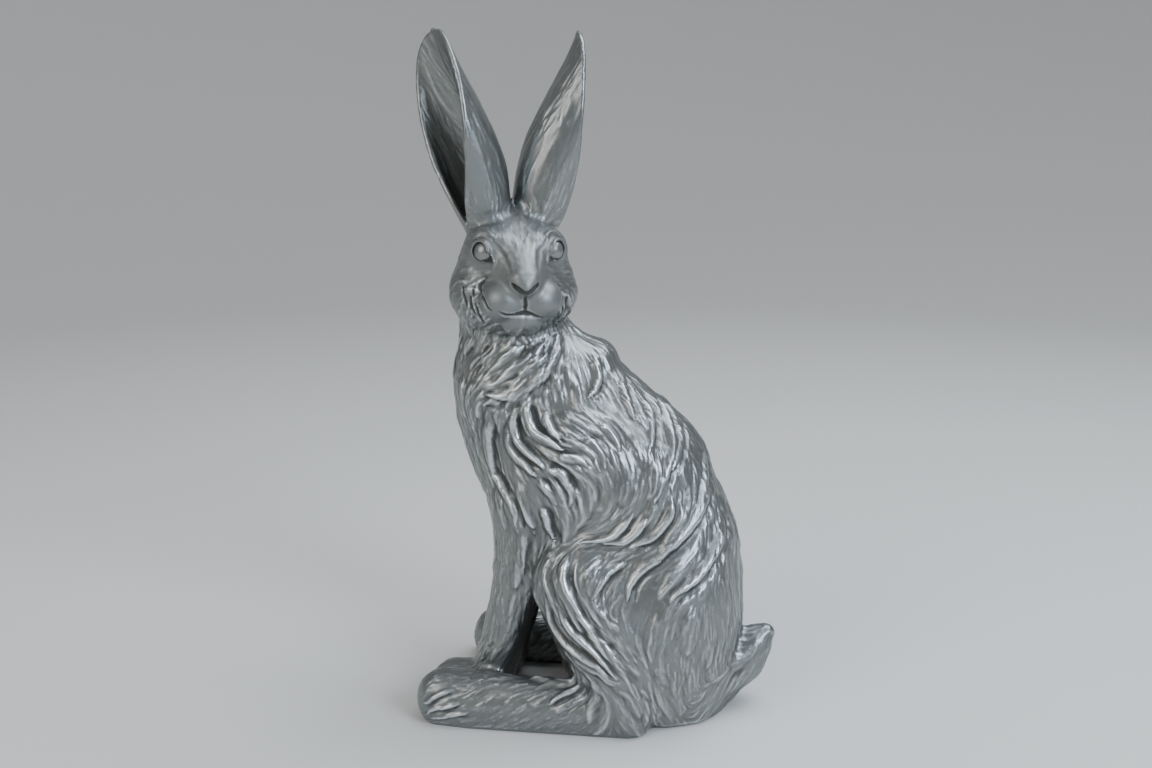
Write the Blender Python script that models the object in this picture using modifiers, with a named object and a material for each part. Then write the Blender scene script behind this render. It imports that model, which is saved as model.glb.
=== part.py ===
"""Seated hare statue, cast in resin, about 0.38 m tall to the ear tips.

The hare sits facing -X with its display side to -Y and turns its head to look out to that side.
Every form is a short row of balls wrapped tight, like a stretched skin.  The wrapped forms are
melted into one body, the floor cuts it flat, and then the named parts are taken off one by one
with cuts a third of a millimetre wide.
"""
import math

import bmesh
import bpy
from mathutils import Matrix, Vector
from mathutils.bvhtree import BVHTree

# ---------------------------------------------------------------- sizes, in millimetres
MM = 0.001
GAP = 0.3                      # width of every cut between two parts
NEAR, FAR = -1, 1              # the hare's left side is -Y, its right side +Y

# Rows of balls: (x, y, z, radius).  A squash narrows the balls along x, y and z.
TRUNK = [(-24, 0, 188, 38), (-3, 0, 156, 51), (21, 0, 126, 58), (36, 0, 87, 59), (39, 0, 60, 55)]
TRUNK_SQUASH = (1, 0.78, 1)
RUMP = [(39, 0, 60, 53), (46, 0, 22, 49)]
RUMP_SQUASH = (1, 0.94, 1)
WITHERS = [(-10, 0, 196, 20), (10.5, 0, 201, 13)]
WITHERS_SQUASH = (1, 1.4, 1)
CHEST = [(-29, 0, 178, 39), (-21, 0, 138, 34), (-22, 0, 118, 28)]
CHEST_SQUASH = (1, 0.86, 1)
NECK = [(-30, 0, 191, 37.5), (-38, -2, 222, 27)]
TAIL = [(80, 0, 15, 16), (96, 0, 27, 15), (104, 0, 36, 10), (110, 0, 42, 5)]

# One side of the body: y counts outward from the middle.
SHOULDER = [(-1, 24, 152, 25), (-16, 24, 124, 20)]
HAUNCH = [(44, 22, 62, 47), (9, 30, 83, 27)]
HAUNCH_SQUASH = (1, 0.66, 1)
FORELEG = [
    (-23, 19, 118, 20), (-29, 19, 90, 14.5), (-34, 19, 63, 13.5), (-40, 19, 38, 13), (-46, 19, 18, 12.5)]
FOREPAW_HEEL = (-47, 19, 11, 13)
FOREPAW_TOE = (-69, 19, 11, 12.8)
FAR_PAW_SHORTER = 17           # the right forepaw is drawn in under the chest
SHIN = [(9, 38, 82, 25), (18, 42, 56, 22), (26, 45, 34, 19), (34, 45, 16, 15)]
SHIN_SQUASH = (1, 0.8, 1)
FOOT = [(34, 46, 10, 14), (-20, 45, 10, 15.5), (-52, 45, 11, 16), (-69, 45, 12.5, 15.5)]
FOOT_SQUASH = (1, 0.88, 1.14)
FAR_FOOT_BACK = 13             # the right hind foot stands further back
HEEL_SHARE = 0.6               # share of that which its heel and shin take

# The main locks of the coat on each flank: half width, then x and z along the lock.
LOCK_HEIGHT = 3.0
LOCK_TIP = 0.55                # width and height at the tip, as a share of those at the root
LOCK_SIDES = 8
LOCKS = [
    (5.0, (-8, 208), (-25, 192), (-44, 187)),
    (4.5, (-18, 188), (-22, 176), (-12, 167), (-2, 163)),
    (4.5, (-34, 172), (-32, 157), (-17, 147)),
    (5.0, (-42, 175), (-47, 158), (-42, 138)),
    (4.5, (16, 174), (28, 165), (30, 155)),
    (5.0, (72, 147), (75, 128), (56, 107), (42, 98)),
    (4.5, (58, 139), (53, 119), (36, 110), (10, 111)),
    (4.5, (79, 121), (76, 98), (59, 82)),
    (4.5, (4, 109), (-1, 94), (14, 68)),
    (4.5, (-6, 80), (13, 54), (32, 38))]

# The head, in its own frame: face to -y, its left to +x, centre between the eyes and the nape.
HEAD_AT = (-32.2, -17, 251)
HEAD_TURN = math.radians(19.5)
SKULL = [(0, 6, 9, 26)]
SKULL_SQUASH = (1, 1.15, 0.95)
BRIDGE = [(0, -6, 12, 18), (0, -26, 6, 13), (0, -37.5, 1, 9)]
MUZZLE = [(0, -20, -7, 18)]
CHIN = [(-2.5, -28, -19, 9.5), (2.5, -28, -19, 9.5)]
THROAT = [(0, -8, -12, 19)]
NAPE = [(0, 13, 6, 23), (0, 12, -25, 25)]
BROW = [(10, -18, 16, 9), (17, -11, 15, 11)]
CHEEK = [(16.8, -1, -9, 18.2)]
CHEEK_SQUASH = (1, 1.2, 1.05)
MUZZLE_PAD = [(9, -28.5, -9.5, 12.6)]
MUZZLE_PAD_SQUASH = (1, 1.05, 0.92)
EYE_AT = (17.3, -20.0, 15.0)
EYE_RADIUS = 6.5

# An ear is a leaf rolled about its back line, closed at the root and open like a dish at the tip.
EAR_ROOT = Vector((2, 12, 30))
EAR_TIP = Vector((39, 14, 128.5))
EAR_OPENS = {FAR: math.radians(63), NEAR: math.radians(84)}    # from the face towards the side
EAR_WALL = 3.2
EAR_ROLL_ROOT = 180            # half of the rolled arc at the root, in degrees
EAR_ROLL_LOSS = 155            # how much of it the ear has opened by its tip
EAR_RADIUS_ROOT = 11
EAR_RADIUS_GAIN = 12.5
EAR_BOW_IN = 9.5
EAR_BOW_OUT = 2.5
EAR_STUB_RADIUS = 12           # the ear's solid foot, let into the skull
EAR_STUB_DOWN = 10
EAR_STUB_UP = 4
EAR_ROWS = 36
EAR_COLUMNS = 24
EAR_TIP_SHARE = 0.995          # the leaf stops just short of its point
EAR_RIM_SHARE = 0.985          # and just short of closing on itself at the root

# Where the parts are taken off.
BELOW_FLOOR = ((-200, -150, -60), (220, 150, 0))
EAR_CUT_AT = (11, 8, 34)       # in the frame of the head, on its left
EAR_CUT_LEAN = math.radians(12)
EAR_CUT_INNER = 12             # how far the ear's space reaches inward from there
HEAD_CUT = -27.5
NECK_CUT_AT = (-33, 0, 195)
NECK_CUT_TILT = math.radians(25)
TAIL_SPACE = [(88, 0, 15, 15), (96, 0, 27, 15), (110, 0, 42, 7)]
FORELEG_SPACE = [(-18, 28, 122, 24), (-30, 21, 90, 18), (-35, 20, 63, 17), (-46, 19, 14, 15.5)]
HIND_LEG_SPACE = [(42, 50, 60, 44), (4, 45, 84, 31), (27, 46, 30, 28)]
HIND_LEG_SQUASH = (1, 0.66, 1)

# The mesh.
BODY_VOXEL = 2.4
BODY_SMOOTHING = 14
HEAD_VOXEL = 1.8
HEAD_SMOOTHING = 18
SKIN_VOXEL = 1.8
SKIN_SMOOTHING = 4
SKIN_TRIANGLES = 3500
EAR_VOXEL = 1.0
EAR_SMOOTHING = 2
EAR_TRIANGLES = 460
REACH = 90                     # of a space past all that it claims
FOOT_MARGIN = 1.5              # by which a space stands off the form that it claims
TAIL_MARGIN = 2.5
PAW_MARGIN = 2.0
FORM_SIDES = 20
SPACE_SIDES = 10
EYE_SIDES = 12

PEWTER = (0.19, 0.185, 0.17, 1)
EYE_PEWTER = (0.21, 0.205, 0.19, 1)
METALLIC = 0.7
ROUGHNESS = 0.4
SHARP_EDGE = math.radians(50)


# ---------------------------------------------------------------- small helpers
def clear_scene():
    for item in list(bpy.data.objects):
        bpy.data.objects.remove(item, do_unlink=True)


def new_collection(name):
    group = bpy.data.collections.new(name)
    bpy.context.scene.collection.children.link(group)
    return group


def to_object(name, mesh_maker, group):
    """Hands a fresh bmesh to mesh_maker and puts the result in the scene as an object."""
    shape = bmesh.new()
    mesh_maker(shape)
    bmesh.ops.recalc_face_normals(shape, faces=shape.faces)
    mesh = bpy.data.meshes.new(name)
    shape.to_mesh(mesh)
    shape.free()
    item = bpy.data.objects.new(name, mesh)
    group.objects.link(item)
    return item


def finished(item):
    """The mesh of an object with all its modifiers worked in; the object is used up."""
    bpy.context.view_layer.update()
    graph = bpy.context.evaluated_depsgraph_get()
    mesh = bpy.data.meshes.new_from_object(item.evaluated_get(graph))
    bpy.data.objects.remove(item, do_unlink=True)
    return mesh


def mirrored(balls, side):
    """A row of balls given outward from the middle, on the left (-1) or the right (+1) side."""
    return [(x, side * y, z, radius) for x, y, z, radius in balls]


def moved(balls, shifts):
    """The same balls, each moved along x by its own shift."""
    return [(x + shift, y, z, radius) for (x, y, z, radius), shift in zip(balls, shifts)]


# ---------------------------------------------------------------- forms
def hull(shape, balls, squash=(1, 1, 1), frame=Matrix(), grow=0.0, sides=FORM_SIDES):
    """Adds one convex body stretched round all the balls."""
    corners = bmesh.new()
    for x, y, z, radius in balls:
        size = [(radius * part + grow) * MM for part in squash]
        place = frame @ Matrix.Translation(Vector((x, y, z)) * MM) @ Matrix.Diagonal((*size, 1))
        bmesh.ops.create_uvsphere(
            corners, u_segments=sides, v_segments=sides // 2 + 1, radius=1, matrix=place)
    bmesh.ops.delete(corners, geom=corners.edges[:], context="EDGES_FACES")
    bmesh.ops.convex_hull(corners, input=corners.verts)
    inside = [vert for vert in corners.verts if not vert.link_faces]
    bmesh.ops.delete(corners, geom=inside, context="VERTS")
    stretched = bpy.data.meshes.new("stretched")
    corners.to_mesh(stretched)
    corners.free()
    shape.from_mesh(stretched)
    bpy.data.meshes.remove(stretched)


def wrap(shape, balls, squash=(1, 1, 1), frame=Matrix(), sides=FORM_SIDES):
    """Adds the wrapped row: a hull round each ball and the next."""
    for number in range(max(1, len(balls) - 1)):
        hull(shape, balls[number:number + 2], squash, frame, sides=sides)


def head_frame():
    return Matrix.Translation(Vector(HEAD_AT) * MM) @ Matrix.Rotation(HEAD_TURN, 4, "Z")


def both_sides(balls):
    """Balls of the head given on its left, and the same on its right."""
    return balls, [(-x, y, z, radius) for x, y, z, radius in balls]


def hind_shifts(side):
    """How far back each of the shin's and of the foot's balls stands on this side."""
    back = FAR_FOOT_BACK if side == FAR else 0
    heel = back * HEEL_SHARE
    shin = [heel * number / (len(SHIN) - 1) for number in range(len(SHIN))]
    foot = [heel] + [back] * (len(FOOT) - 1)
    return shin, foot


def foreleg_rows(side):
    """The leg, and its paw, on one side."""
    drawn_in = FAR_PAW_SHORTER if side == FAR else 0
    toe = (FOREPAW_TOE[0] + drawn_in, *FOREPAW_TOE[1:])
    return mirrored(FORELEG, side), mirrored([FOREPAW_HEEL, toe], side)


def body_forms(shape):
    """All forms below the head."""
    wrap(shape, TRUNK, TRUNK_SQUASH)
    wrap(shape, RUMP, RUMP_SQUASH)
    wrap(shape, WITHERS, WITHERS_SQUASH)
    wrap(shape, CHEST, CHEST_SQUASH)
    wrap(shape, NECK)
    wrap(shape, TAIL)
    for side in (NEAR, FAR):
        shin_shift, foot_shift = hind_shifts(side)
        wrap(shape, mirrored(SHOULDER, side))
        wrap(shape, mirrored(HAUNCH, side), HAUNCH_SQUASH)
        wrap(shape, moved(mirrored(SHIN, side), shin_shift), SHIN_SQUASH)
        wrap(shape, moved(mirrored(FOOT, side), foot_shift), FOOT_SQUASH)
        leg, paw = foreleg_rows(side)
        wrap(shape, leg)
        wrap(shape, paw)


def lock(surface, side, half_width, path):
    """The balls of one lock, let into the flank so far that its crest stands at its height.

    A ball of radius (w * w + h * h) / 2h that stands out by h is 2w wide where it meets the surface.
    """
    balls = []
    for number, (x, z) in enumerate(path):
        thinning = 1 - (1 - LOCK_TIP) * number / (len(path) - 1)
        wide, high = half_width * thinning, LOCK_HEIGHT * thinning
        radius = (wide ** 2 + high ** 2) / (2 * high)
        place, out, _, _ = surface.ray_cast(Vector((x, side * REACH, z)) * MM, Vector((0, -side, 0)))
        balls.append((*(place / MM + out * (high - radius)), radius))
    return balls


def lock_forms(body):
    """A function that adds the main locks of both flanks on the mesh of the body."""
    surface = BVHTree.FromPolygons([v.co for v in body.vertices], [f.vertices for f in body.polygons])

    def make(shape):
        for side in (NEAR, FAR):
            for half_width, *path in LOCKS:
                wrap(shape, lock(surface, side, half_width, path), sides=LOCK_SIDES)
    return make


def head_forms(shape):
    """The head without its ears."""
    frame = head_frame()
    wrap(shape, SKULL, SKULL_SQUASH, frame)
    wrap(shape, BRIDGE, frame=frame)
    wrap(shape, MUZZLE, frame=frame)
    wrap(shape, CHIN, frame=frame)
    wrap(shape, THROAT, frame=frame)
    wrap(shape, NAPE, frame=frame)
    for balls, squash in ((BROW, (1, 1, 1)), (CHEEK, CHEEK_SQUASH), (MUZZLE_PAD, MUZZLE_PAD_SQUASH)):
        for row in both_sides(balls):
            wrap(shape, row, squash, frame)


def ear_axes(side):
    """Unit vectors along the ear, out of its opening, and sideways, for an ear on the left."""
    along = (EAR_TIP - EAR_ROOT).normalized()
    opens = Vector((math.sin(EAR_OPENS[side]), -math.cos(EAR_OPENS[side]), 0))
    opens = (opens - along * opens.dot(along)).normalized()
    return along, opens, along.cross(opens)


def ear_point(side, share, turn):
    """A point of the rolled leaf: share runs from root to tip, turn from rim (-1) to rim (+1)."""
    along, opens, across = ear_axes(side)
    outward = (Vector((1, 0, 0)) - along * along.x).normalized()
    bow = (-EAR_BOW_IN * math.sin(math.pi * share) * (1 - share) ** 0.6
           + EAR_BOW_OUT * math.sin(math.pi * share) * share ** 2)
    back = EAR_ROOT.lerp(EAR_TIP, share) + outward * bow
    roll = math.radians(EAR_ROLL_ROOT - EAR_ROLL_LOSS * share) * math.sqrt(1 - share ** 24)
    radius = EAR_RADIUS_ROOT + EAR_RADIUS_GAIN * share ** 0.6
    angle = roll * turn
    return back + opens * radius * (1 - math.cos(angle)) + across * radius * math.sin(angle)


def ear_leaf(side):
    """A function that lays out one ear as an open sheet of four-sided faces."""
    mirror = Matrix.Diagonal((1 if side == NEAR else -1, 1, 1, 1))

    def make(shape):
        rows = []
        for row in range(EAR_ROWS + 1):
            share = EAR_TIP_SHARE * row / EAR_ROWS
            points = []
            for column in range(EAR_COLUMNS + 1):
                turn = EAR_RIM_SHARE * (2 * column / EAR_COLUMNS - 1)
                place = head_frame() @ mirror @ (ear_point(side, share, turn) * MM)
                points.append(shape.verts.new(place))
            rows.append(points)
        for lower, upper in zip(rows, rows[1:]):
            for column in range(EAR_COLUMNS):
                shape.faces.new((lower[column], lower[column + 1], upper[column + 1], upper[column]))
    return make


def ear_stub(side):
    """A function that adds the solid stub from which an ear grows."""
    along, opens, _ = ear_axes(side)
    low = EAR_ROOT + opens * EAR_RADIUS_ROOT - along * EAR_STUB_DOWN
    high = EAR_ROOT + opens * (EAR_RADIUS_ROOT + 1) + along * EAR_STUB_UP
    flip = 1 if side == NEAR else -1
    balls = [(flip * end.x, end.y, end.z, EAR_STUB_RADIUS) for end in (low, high)]
    return lambda shape: wrap(shape, balls, frame=head_frame())


# ---------------------------------------------------------------- melting and cutting
def place_mesh(name, mesh, group):
    item = bpy.data.objects.new(name, mesh)
    group.objects.link(item)
    return item


def joined(name, meshes, group):
    """One object that holds all the given meshes."""
    shape = bmesh.new()
    for mesh in meshes:
        shape.from_mesh(mesh)
        bpy.data.meshes.remove(mesh)
    mesh = bpy.data.meshes.new(name)
    shape.to_mesh(mesh)
    shape.free()
    return place_mesh(name, mesh, group)


def melted(item, voxel, smoothing):
    """The mesh of one skin round everything in the object, its inner corners rounded."""
    melt = item.modifiers.new("melt", "REMESH")
    melt.mode = "VOXEL"
    melt.voxel_size = voxel * MM
    soften = item.modifiers.new("soften", "SMOOTH")
    soften.factor = 0.5
    soften.iterations = smoothing
    return finished(item)


def lightened(item, triangles):
    """The mesh thinned to about this many triangles."""
    lighten = item.modifiers.new("lighten", "DECIMATE")
    lighten.ratio = triangles / sum(len(face.vertices) - 2 for face in item.data.polygons)
    return finished(item)


def cut(mesh, operation, group, cutter=None, cutters=None):
    """The mesh after one exact Boolean with one cutter, or with a collection of them at once."""
    item = place_mesh("work", mesh, group)
    step = item.modifiers.new("cut", "BOOLEAN")
    step.solver = "EXACT"
    step.operation = operation
    if cutters:
        step.operand_type = "COLLECTION"
        step.collection = cutters
    else:
        step.object = cutter
    return finished(item)


def new_cutter(name, mesh_maker, group):
    item = to_object(name, mesh_maker, group)
    item.hide_render = True
    item.display_type = "WIRE"
    return item


def take_off(source, name, territory, group, spaces, taken):
    """The mesh of a part: what its space claims of the source, without all that is taken already.

    territory(shape, grow) adds the space to a shape; with the gap round it, it is then taken too.
    """
    space = new_cutter(name + "_space", lambda shape: territory(shape, 0.0), spaces)
    piece = cut(source.copy(), "INTERSECT", group, cutter=space)
    piece = cut(piece, "DIFFERENCE", group, cutters=taken)
    new_cutter(name + "_space_and_gap", lambda shape: territory(shape, GAP), taken)
    return main_body(piece)


def block(low, high, frame=Matrix()):
    """A territory that is a box; grow moves all its faces out."""
    def make(shape, grow):
        size = [(top - bottom + 2 * grow) * MM for bottom, top in zip(low, high)]
        middle = Vector([(top + bottom) / 2 * MM for bottom, top in zip(low, high)])
        place = frame @ Matrix.Translation(middle) @ Matrix.Diagonal((*size, 1))
        bmesh.ops.create_cube(shape, size=1, matrix=place)
    return make


def round_row(balls, squash=(1, 1, 1), margin=0.0):
    """A territory stretched round a row of balls at a margin; off the body it cuts only air."""
    def make(shape, grow):
        roomy = [(x, y, z, radius + margin) for x, y, z, radius in balls]
        hull(shape, roomy, squash, grow=grow, sides=SPACE_SIDES)
    return make


def main_body(mesh):
    """Keeps the largest connected piece of a mesh and drops crumbs left by the cuts."""
    shape = bmesh.new()
    shape.from_mesh(mesh)
    waiting = set(shape.verts)
    pieces = []
    while waiting:
        front = [waiting.pop()]
        piece = list(front)
        while front:
            vert = front.pop()
            for edge in vert.link_edges:
                other = edge.other_vert(vert)
                if other in waiting:
                    waiting.remove(other)
                    front.append(other)
                    piece.append(other)
        pieces.append(piece)
    pieces.sort(key=len, reverse=True)
    crumbs = [vert for piece in pieces[1:] for vert in piece]
    bmesh.ops.delete(shape, geom=crumbs, context="VERTS")
    shape.to_mesh(mesh)
    shape.free()
    return mesh


# ---------------------------------------------------------------- the statue
def hare_without_ears(group):
    """The mesh of head, body, main locks and ear stubs as one light skin."""
    soft = melted(to_object("soft_forms", body_forms, group), BODY_VOXEL, BODY_SMOOTHING)
    head = melted(to_object("head_forms", head_forms, group), HEAD_VOXEL, HEAD_SMOOTHING)
    locks = to_object("locks", lock_forms(soft), group).data
    stubs = [to_object("stub", ear_stub(side), group).data for side in (NEAR, FAR)]
    skin = melted(joined("skin", [soft, head, locks, *stubs], group), SKIN_VOXEL, SKIN_SMOOTHING)
    return lightened(place_mesh("skin", skin, group), SKIN_TRIANGLES)


def whole_ear(side, group):
    """The mesh of one ear with the stub that it grows from."""
    leaf = to_object("leaf", ear_leaf(side), group)
    wall = leaf.modifiers.new("wall", "SOLIDIFY")
    wall.thickness = EAR_WALL * MM
    wall.offset = 0
    stub = to_object("stub", ear_stub(side), group).data
    ear = melted(joined("ear", [finished(leaf), stub], group), EAR_VOXEL, EAR_SMOOTHING)
    return lightened(place_mesh("ear", ear, group), EAR_TRIANGLES)


def ear_space(side):
    """The territory of an ear: all above its seat, which leans out with it."""
    flip = 1 if side == NEAR else -1
    lean = Matrix.Rotation(flip * EAR_CUT_LEAN, 4, "Y")
    seat = Matrix.Translation(Vector((flip * EAR_CUT_AT[0], *EAR_CUT_AT[1:])) * MM)
    low, high = sorted((-flip * EAR_CUT_INNER, flip * REACH))
    return block((low, -REACH, 0), (high, REACH, REACH * 2), head_frame() @ seat @ lean)


def territories():
    """The named parts below the ears in the order of their taking off, with the space each claims."""
    under_jaw = Matrix.Translation(Vector(HEAD_AT) * MM)
    yield "head", block((-REACH, -REACH, HEAD_CUT), (REACH, REACH, REACH), under_jaw)
    over_withers = Matrix.Translation(Vector(NECK_CUT_AT) * MM) @ Matrix.Rotation(-NECK_CUT_TILT, 4, "Y")
    yield "neck", block((-REACH, -REACH, 0), (REACH, REACH, REACH), over_withers)
    yield "tail", round_row(TAIL_SPACE, margin=TAIL_MARGIN)
    for side, word in ((NEAR, "left"), (FAR, "right")):
        shin_shift, foot_shift = hind_shifts(side)
        leg, paw = foreleg_rows(side)
        foot = moved(mirrored(FOOT, side), foot_shift)
        yield "hind_foot_" + word, round_row(foot, FOOT_SQUASH, FOOT_MARGIN)
        yield "forepaw_" + word, round_row(paw, margin=PAW_MARGIN)
        yield "foreleg_" + word, round_row(mirrored(FORELEG_SPACE, side))
        hind = moved(mirrored(HIND_LEG_SPACE, side), (0, shin_shift[0], shin_shift[2]))
        yield "hind_leg_" + word, round_row(hind, HIND_LEG_SQUASH)


def eyeball(side, grow=0.0):
    x, y, z = EYE_AT
    ball = [(side * x, y, z, EYE_RADIUS)]
    return lambda shape: hull(shape, ball, frame=head_frame(), grow=grow, sides=EYE_SIDES)


def finish(item, name, colour):
    """Names the part, gives it its own painted finish and smooth shading."""
    item.name = name
    item.data.name = name
    paint = bpy.data.materials.new(name + "_paint")
    paint.use_nodes = True
    shader = paint.node_tree.nodes["Principled BSDF"]
    shader.inputs["Base Color"].default_value = colour
    shader.inputs["Metallic"].default_value = METALLIC
    shader.inputs["Roughness"].default_value = ROUGHNESS
    item.data.materials.clear()
    item.data.materials.append(paint)
    item.data.shade_smooth()
    item.data.set_sharp_from_angle(angle=SHARP_EDGE)


def centre_over_origin(items):
    """Moves the statue so that the middle of its box stands over the origin."""
    across = [vert.co.x for item in items for vert in item.data.vertices]
    along = [vert.co.y for item in items for vert in item.data.vertices]
    middle = Vector((max(across) + min(across), max(along) + min(along), 0)) / 2
    for item in items:
        item.data.transform(Matrix.Translation(-middle))


def build():
    clear_scene()
    parts = new_collection("seated_hare_statue")
    spaces = new_collection("spaces")
    taken = new_collection("taken_spaces")
    new_cutter("floor", lambda shape: block(*BELOW_FLOOR)(shape, 0.0), taken)
    for name, side in (("eye_left", 1), ("eye_right", -1)):
        new_cutter(name + "_socket", eyeball(side, GAP), taken)
        finish(to_object(name, eyeball(side), parts), name, EYE_PEWTER)
    for name, side in (("ear_left", NEAR), ("ear_right", FAR)):
        ear = take_off(whole_ear(side, parts), name, ear_space(side), parts, spaces, taken)
        finish(place_mesh(name, ear, parts), name, PEWTER)
    skin = hare_without_ears(parts)
    for name, territory in territories():
        piece = take_off(skin, name, territory, parts, spaces, taken)
        finish(place_mesh(name, piece, parts), name, PEWTER)
    trunk = main_body(cut(skin, "DIFFERENCE", parts, cutters=taken))
    finish(place_mesh("trunk", trunk, parts), "trunk", PEWTER)
    centre_over_origin(parts.objects)


build()
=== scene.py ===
# %% [markdown]
# # A seated hare, cast in resin and painted like pewter
#
# A statue like this is one casting.  The sculptor models it in clay, combs and cuts the coat into the
# clay, and the casting is painted with metal paint, wiped so that the raised hair is bright and the
# grooves stay dark.  This script follows the same order: first the plain body, then the face, then
# the coat, then the paint.

# %% Setting up
import math

import bpy
import numpy as np
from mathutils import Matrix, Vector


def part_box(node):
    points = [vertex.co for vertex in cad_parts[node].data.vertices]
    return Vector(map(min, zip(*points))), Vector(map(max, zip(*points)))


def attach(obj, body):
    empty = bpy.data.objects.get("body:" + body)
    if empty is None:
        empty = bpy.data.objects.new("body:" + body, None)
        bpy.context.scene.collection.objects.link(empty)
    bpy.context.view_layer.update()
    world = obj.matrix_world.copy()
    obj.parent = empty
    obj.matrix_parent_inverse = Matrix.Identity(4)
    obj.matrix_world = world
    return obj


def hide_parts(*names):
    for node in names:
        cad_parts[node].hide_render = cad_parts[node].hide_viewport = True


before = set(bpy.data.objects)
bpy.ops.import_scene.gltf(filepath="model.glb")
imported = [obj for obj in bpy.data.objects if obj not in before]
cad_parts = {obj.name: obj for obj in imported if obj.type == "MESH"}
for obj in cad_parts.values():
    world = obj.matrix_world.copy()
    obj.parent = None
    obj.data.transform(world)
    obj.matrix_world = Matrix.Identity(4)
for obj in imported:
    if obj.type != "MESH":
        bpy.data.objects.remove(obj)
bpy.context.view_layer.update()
MM = 0.001
TINY = 1e-9

# %% [markdown]
# ## The body as rows of balls
#
# A body like this could be sculpted by hand, or built from a cage with subdivision.  Here it is
# a distance field: a function that tells for any point how far it is from the surface, negative
# inside.  Rows of balls, each row wrapped tight like a stretched skin, are easy to write down and to
# correct, and they melt into each other softly, as clay does.  All sizes are in millimetres, with
# +Z up, the body facing -X and the side on show to -Y.  A side row is given for the left of the hare.

# %% Balls of the body: x, y, z, radius
TRUNK = [(-24, 0, 188, 38), (-3, 0, 156, 51), (21, 0, 126, 58), (36, 0, 87, 59), (39, 0, 60, 55)]
RUMP = [(39, 0, 60, 53), (46, 0, 22, 49)]
WITHERS = [(-10, 0, 196, 20), (10.5, 0, 201, 13)]
CHEST = [(-29, 0, 178, 39), (-21, 0, 138, 34), (-22, 0, 118, 28)]
NECK = [(-30, 0, 191, 37.5), (-38, -2, 222, 27)]
TAIL = [(80, 0, 15, 16), (96, 0, 27, 15), (104, 0, 36, 10), (110, 0, 42, 5)]
SHOULDER = [(-1, -24, 152, 25), (-16, -24, 124, 20)]
HAUNCH = [(44, -22, 62, 47), (9, -30, 83, 27)]
FORELEG = [(-23, -19, 118, 20), (-29, -19, 90, 14.5), (-34, -19, 63, 13.5), (-40, -19, 38, 13),
           (-46, -19, 18, 12.5)]
FOREPAW = [(-47, -19, 11, 13), (-69, -19, 11, 12.8)]
SHIN = [(9, -38, 82, 25), (18, -42, 56, 22), (26, -45, 34, 19), (34, -45, 16, 15)]
FOOT = [(34, -46, 10, 14), (-20, -45, 10, 15.5), (-52, -45, 11, 16), (-69, -45, 12.5, 15.5)]
FAR_PAW_SHORTER = 17
FAR_FOOT_BACK = 13

# %% Balls of the head, in its own frame: face to -y, the hare's left to +x
HEAD_AT = np.array([-32.2, -17, 251])
HEAD_TURN = math.radians(19.5)
SKULL = [(0, 6, 9, 26)]
BRIDGE = [(0, -6, 12, 18), (0, -26, 6, 13), (0, -37.5, 1, 9)]
MUZZLE = [(0, -20, -7, 18)]
CHIN = [(2.5, -28, -19, 9.5)]
THROAT = [(0, -8, -12, 19)]
NAPE = [(0, 13, 6, 23), (0, 12, -25, 25)]
BROW = [(10, -18, 16, 9), (17, -11, 15, 11)]
BROW_RIDGE = [(12, -21, 18, 5), (16.5, -16.5, 20.5, 4.5)]
CHEEK = [(16.8, -1, -9, 18.2)]
MUZZLE_PAD = [(9.2, -28.8, -9.6, 12.8)]
LOWER_LIP = [(1.5, -33.5, -19.5, 5.0)]
EYE_AT = np.array([17.3, -20.0, 15.0])
EYE_RADIUS = 6.5
EAR_ROOT = np.array([2.0, 12.0, 30.0])
EAR_TIP = np.array([39.0, 14.0, 128.5])
EAR_OPENS = {-1: math.radians(63), 1: math.radians(84)}

# %% Where this hare stands: the frame's own eye tells how far the body was moved
head_cos, head_sin = math.cos(HEAD_TURN), math.sin(HEAD_TURN)


def from_head(points):
    """Head frame to body frame: a turn about the upright axis, then the head's place."""
    points = np.asarray(points, float)
    x = points[..., 0] * head_cos - points[..., 1] * head_sin
    y = points[..., 0] * head_sin + points[..., 1] * head_cos
    return np.stack([x, y, points[..., 2]], -1) + HEAD_AT


def to_head(points):
    """Body frame to head frame, the same turn undone."""
    moved = points - HEAD_AT
    x = moved[..., 0] * head_cos + moved[..., 1] * head_sin
    y = -moved[..., 0] * head_sin + moved[..., 1] * head_cos
    return np.stack([x, y, moved[..., 2]], -1)


eye_box = np.array(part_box("eye_left")) / MM
SHIFT = eye_box.mean(0) - from_head(EYE_AT)
print("body frame stands", SHIFT.round(2), "mm from the part's frame")

# %% [markdown]
# ## Distances
#
# The distance to two balls wrapped in a stretched skin is worked out exactly, as for a cone with
# round ends.  Two forms are joined with a soft minimum, which fills the inner corner between them
# over a chosen width.  A squashed row is measured in squashed space.

# %% Distance functions
def round_cone(p, a, ra, b, rb):
    """Distance to the skin round two balls: along the axis it is a slanted line from radius ra to
    radius rb, and past each end it is the ball there."""
    ba = b - a
    length2 = float(ba @ ba)
    fall = ra - rb
    slant2 = length2 - fall * fall
    pa = p - a
    y = pa @ ba
    z = y - length2
    x2 = ((pa * length2 - y[:, None] * ba) ** 2).sum(1)
    y2 = y * y * length2
    z2 = z * z * length2
    k = np.sign(fall) * fall * fall * x2
    side = (np.sqrt(np.maximum(x2 * slant2 / length2, 0)) + y * fall) / length2 - ra
    past_b = np.sqrt(x2 + z2) / length2 - rb
    past_a = np.sqrt(x2 + y2) / length2 - ra
    return np.where(np.sign(z) * slant2 * z2 > k, past_b,
                    np.where(np.sign(y) * slant2 * y2 < k, past_a, side))


def soft_min(a, b, width):
    """The smaller of two distances, with the corner between them filled over a width."""
    near = np.maximum(width - np.abs(a - b), 0) / width
    return np.minimum(a, b) - near * near * width * 0.25


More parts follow.
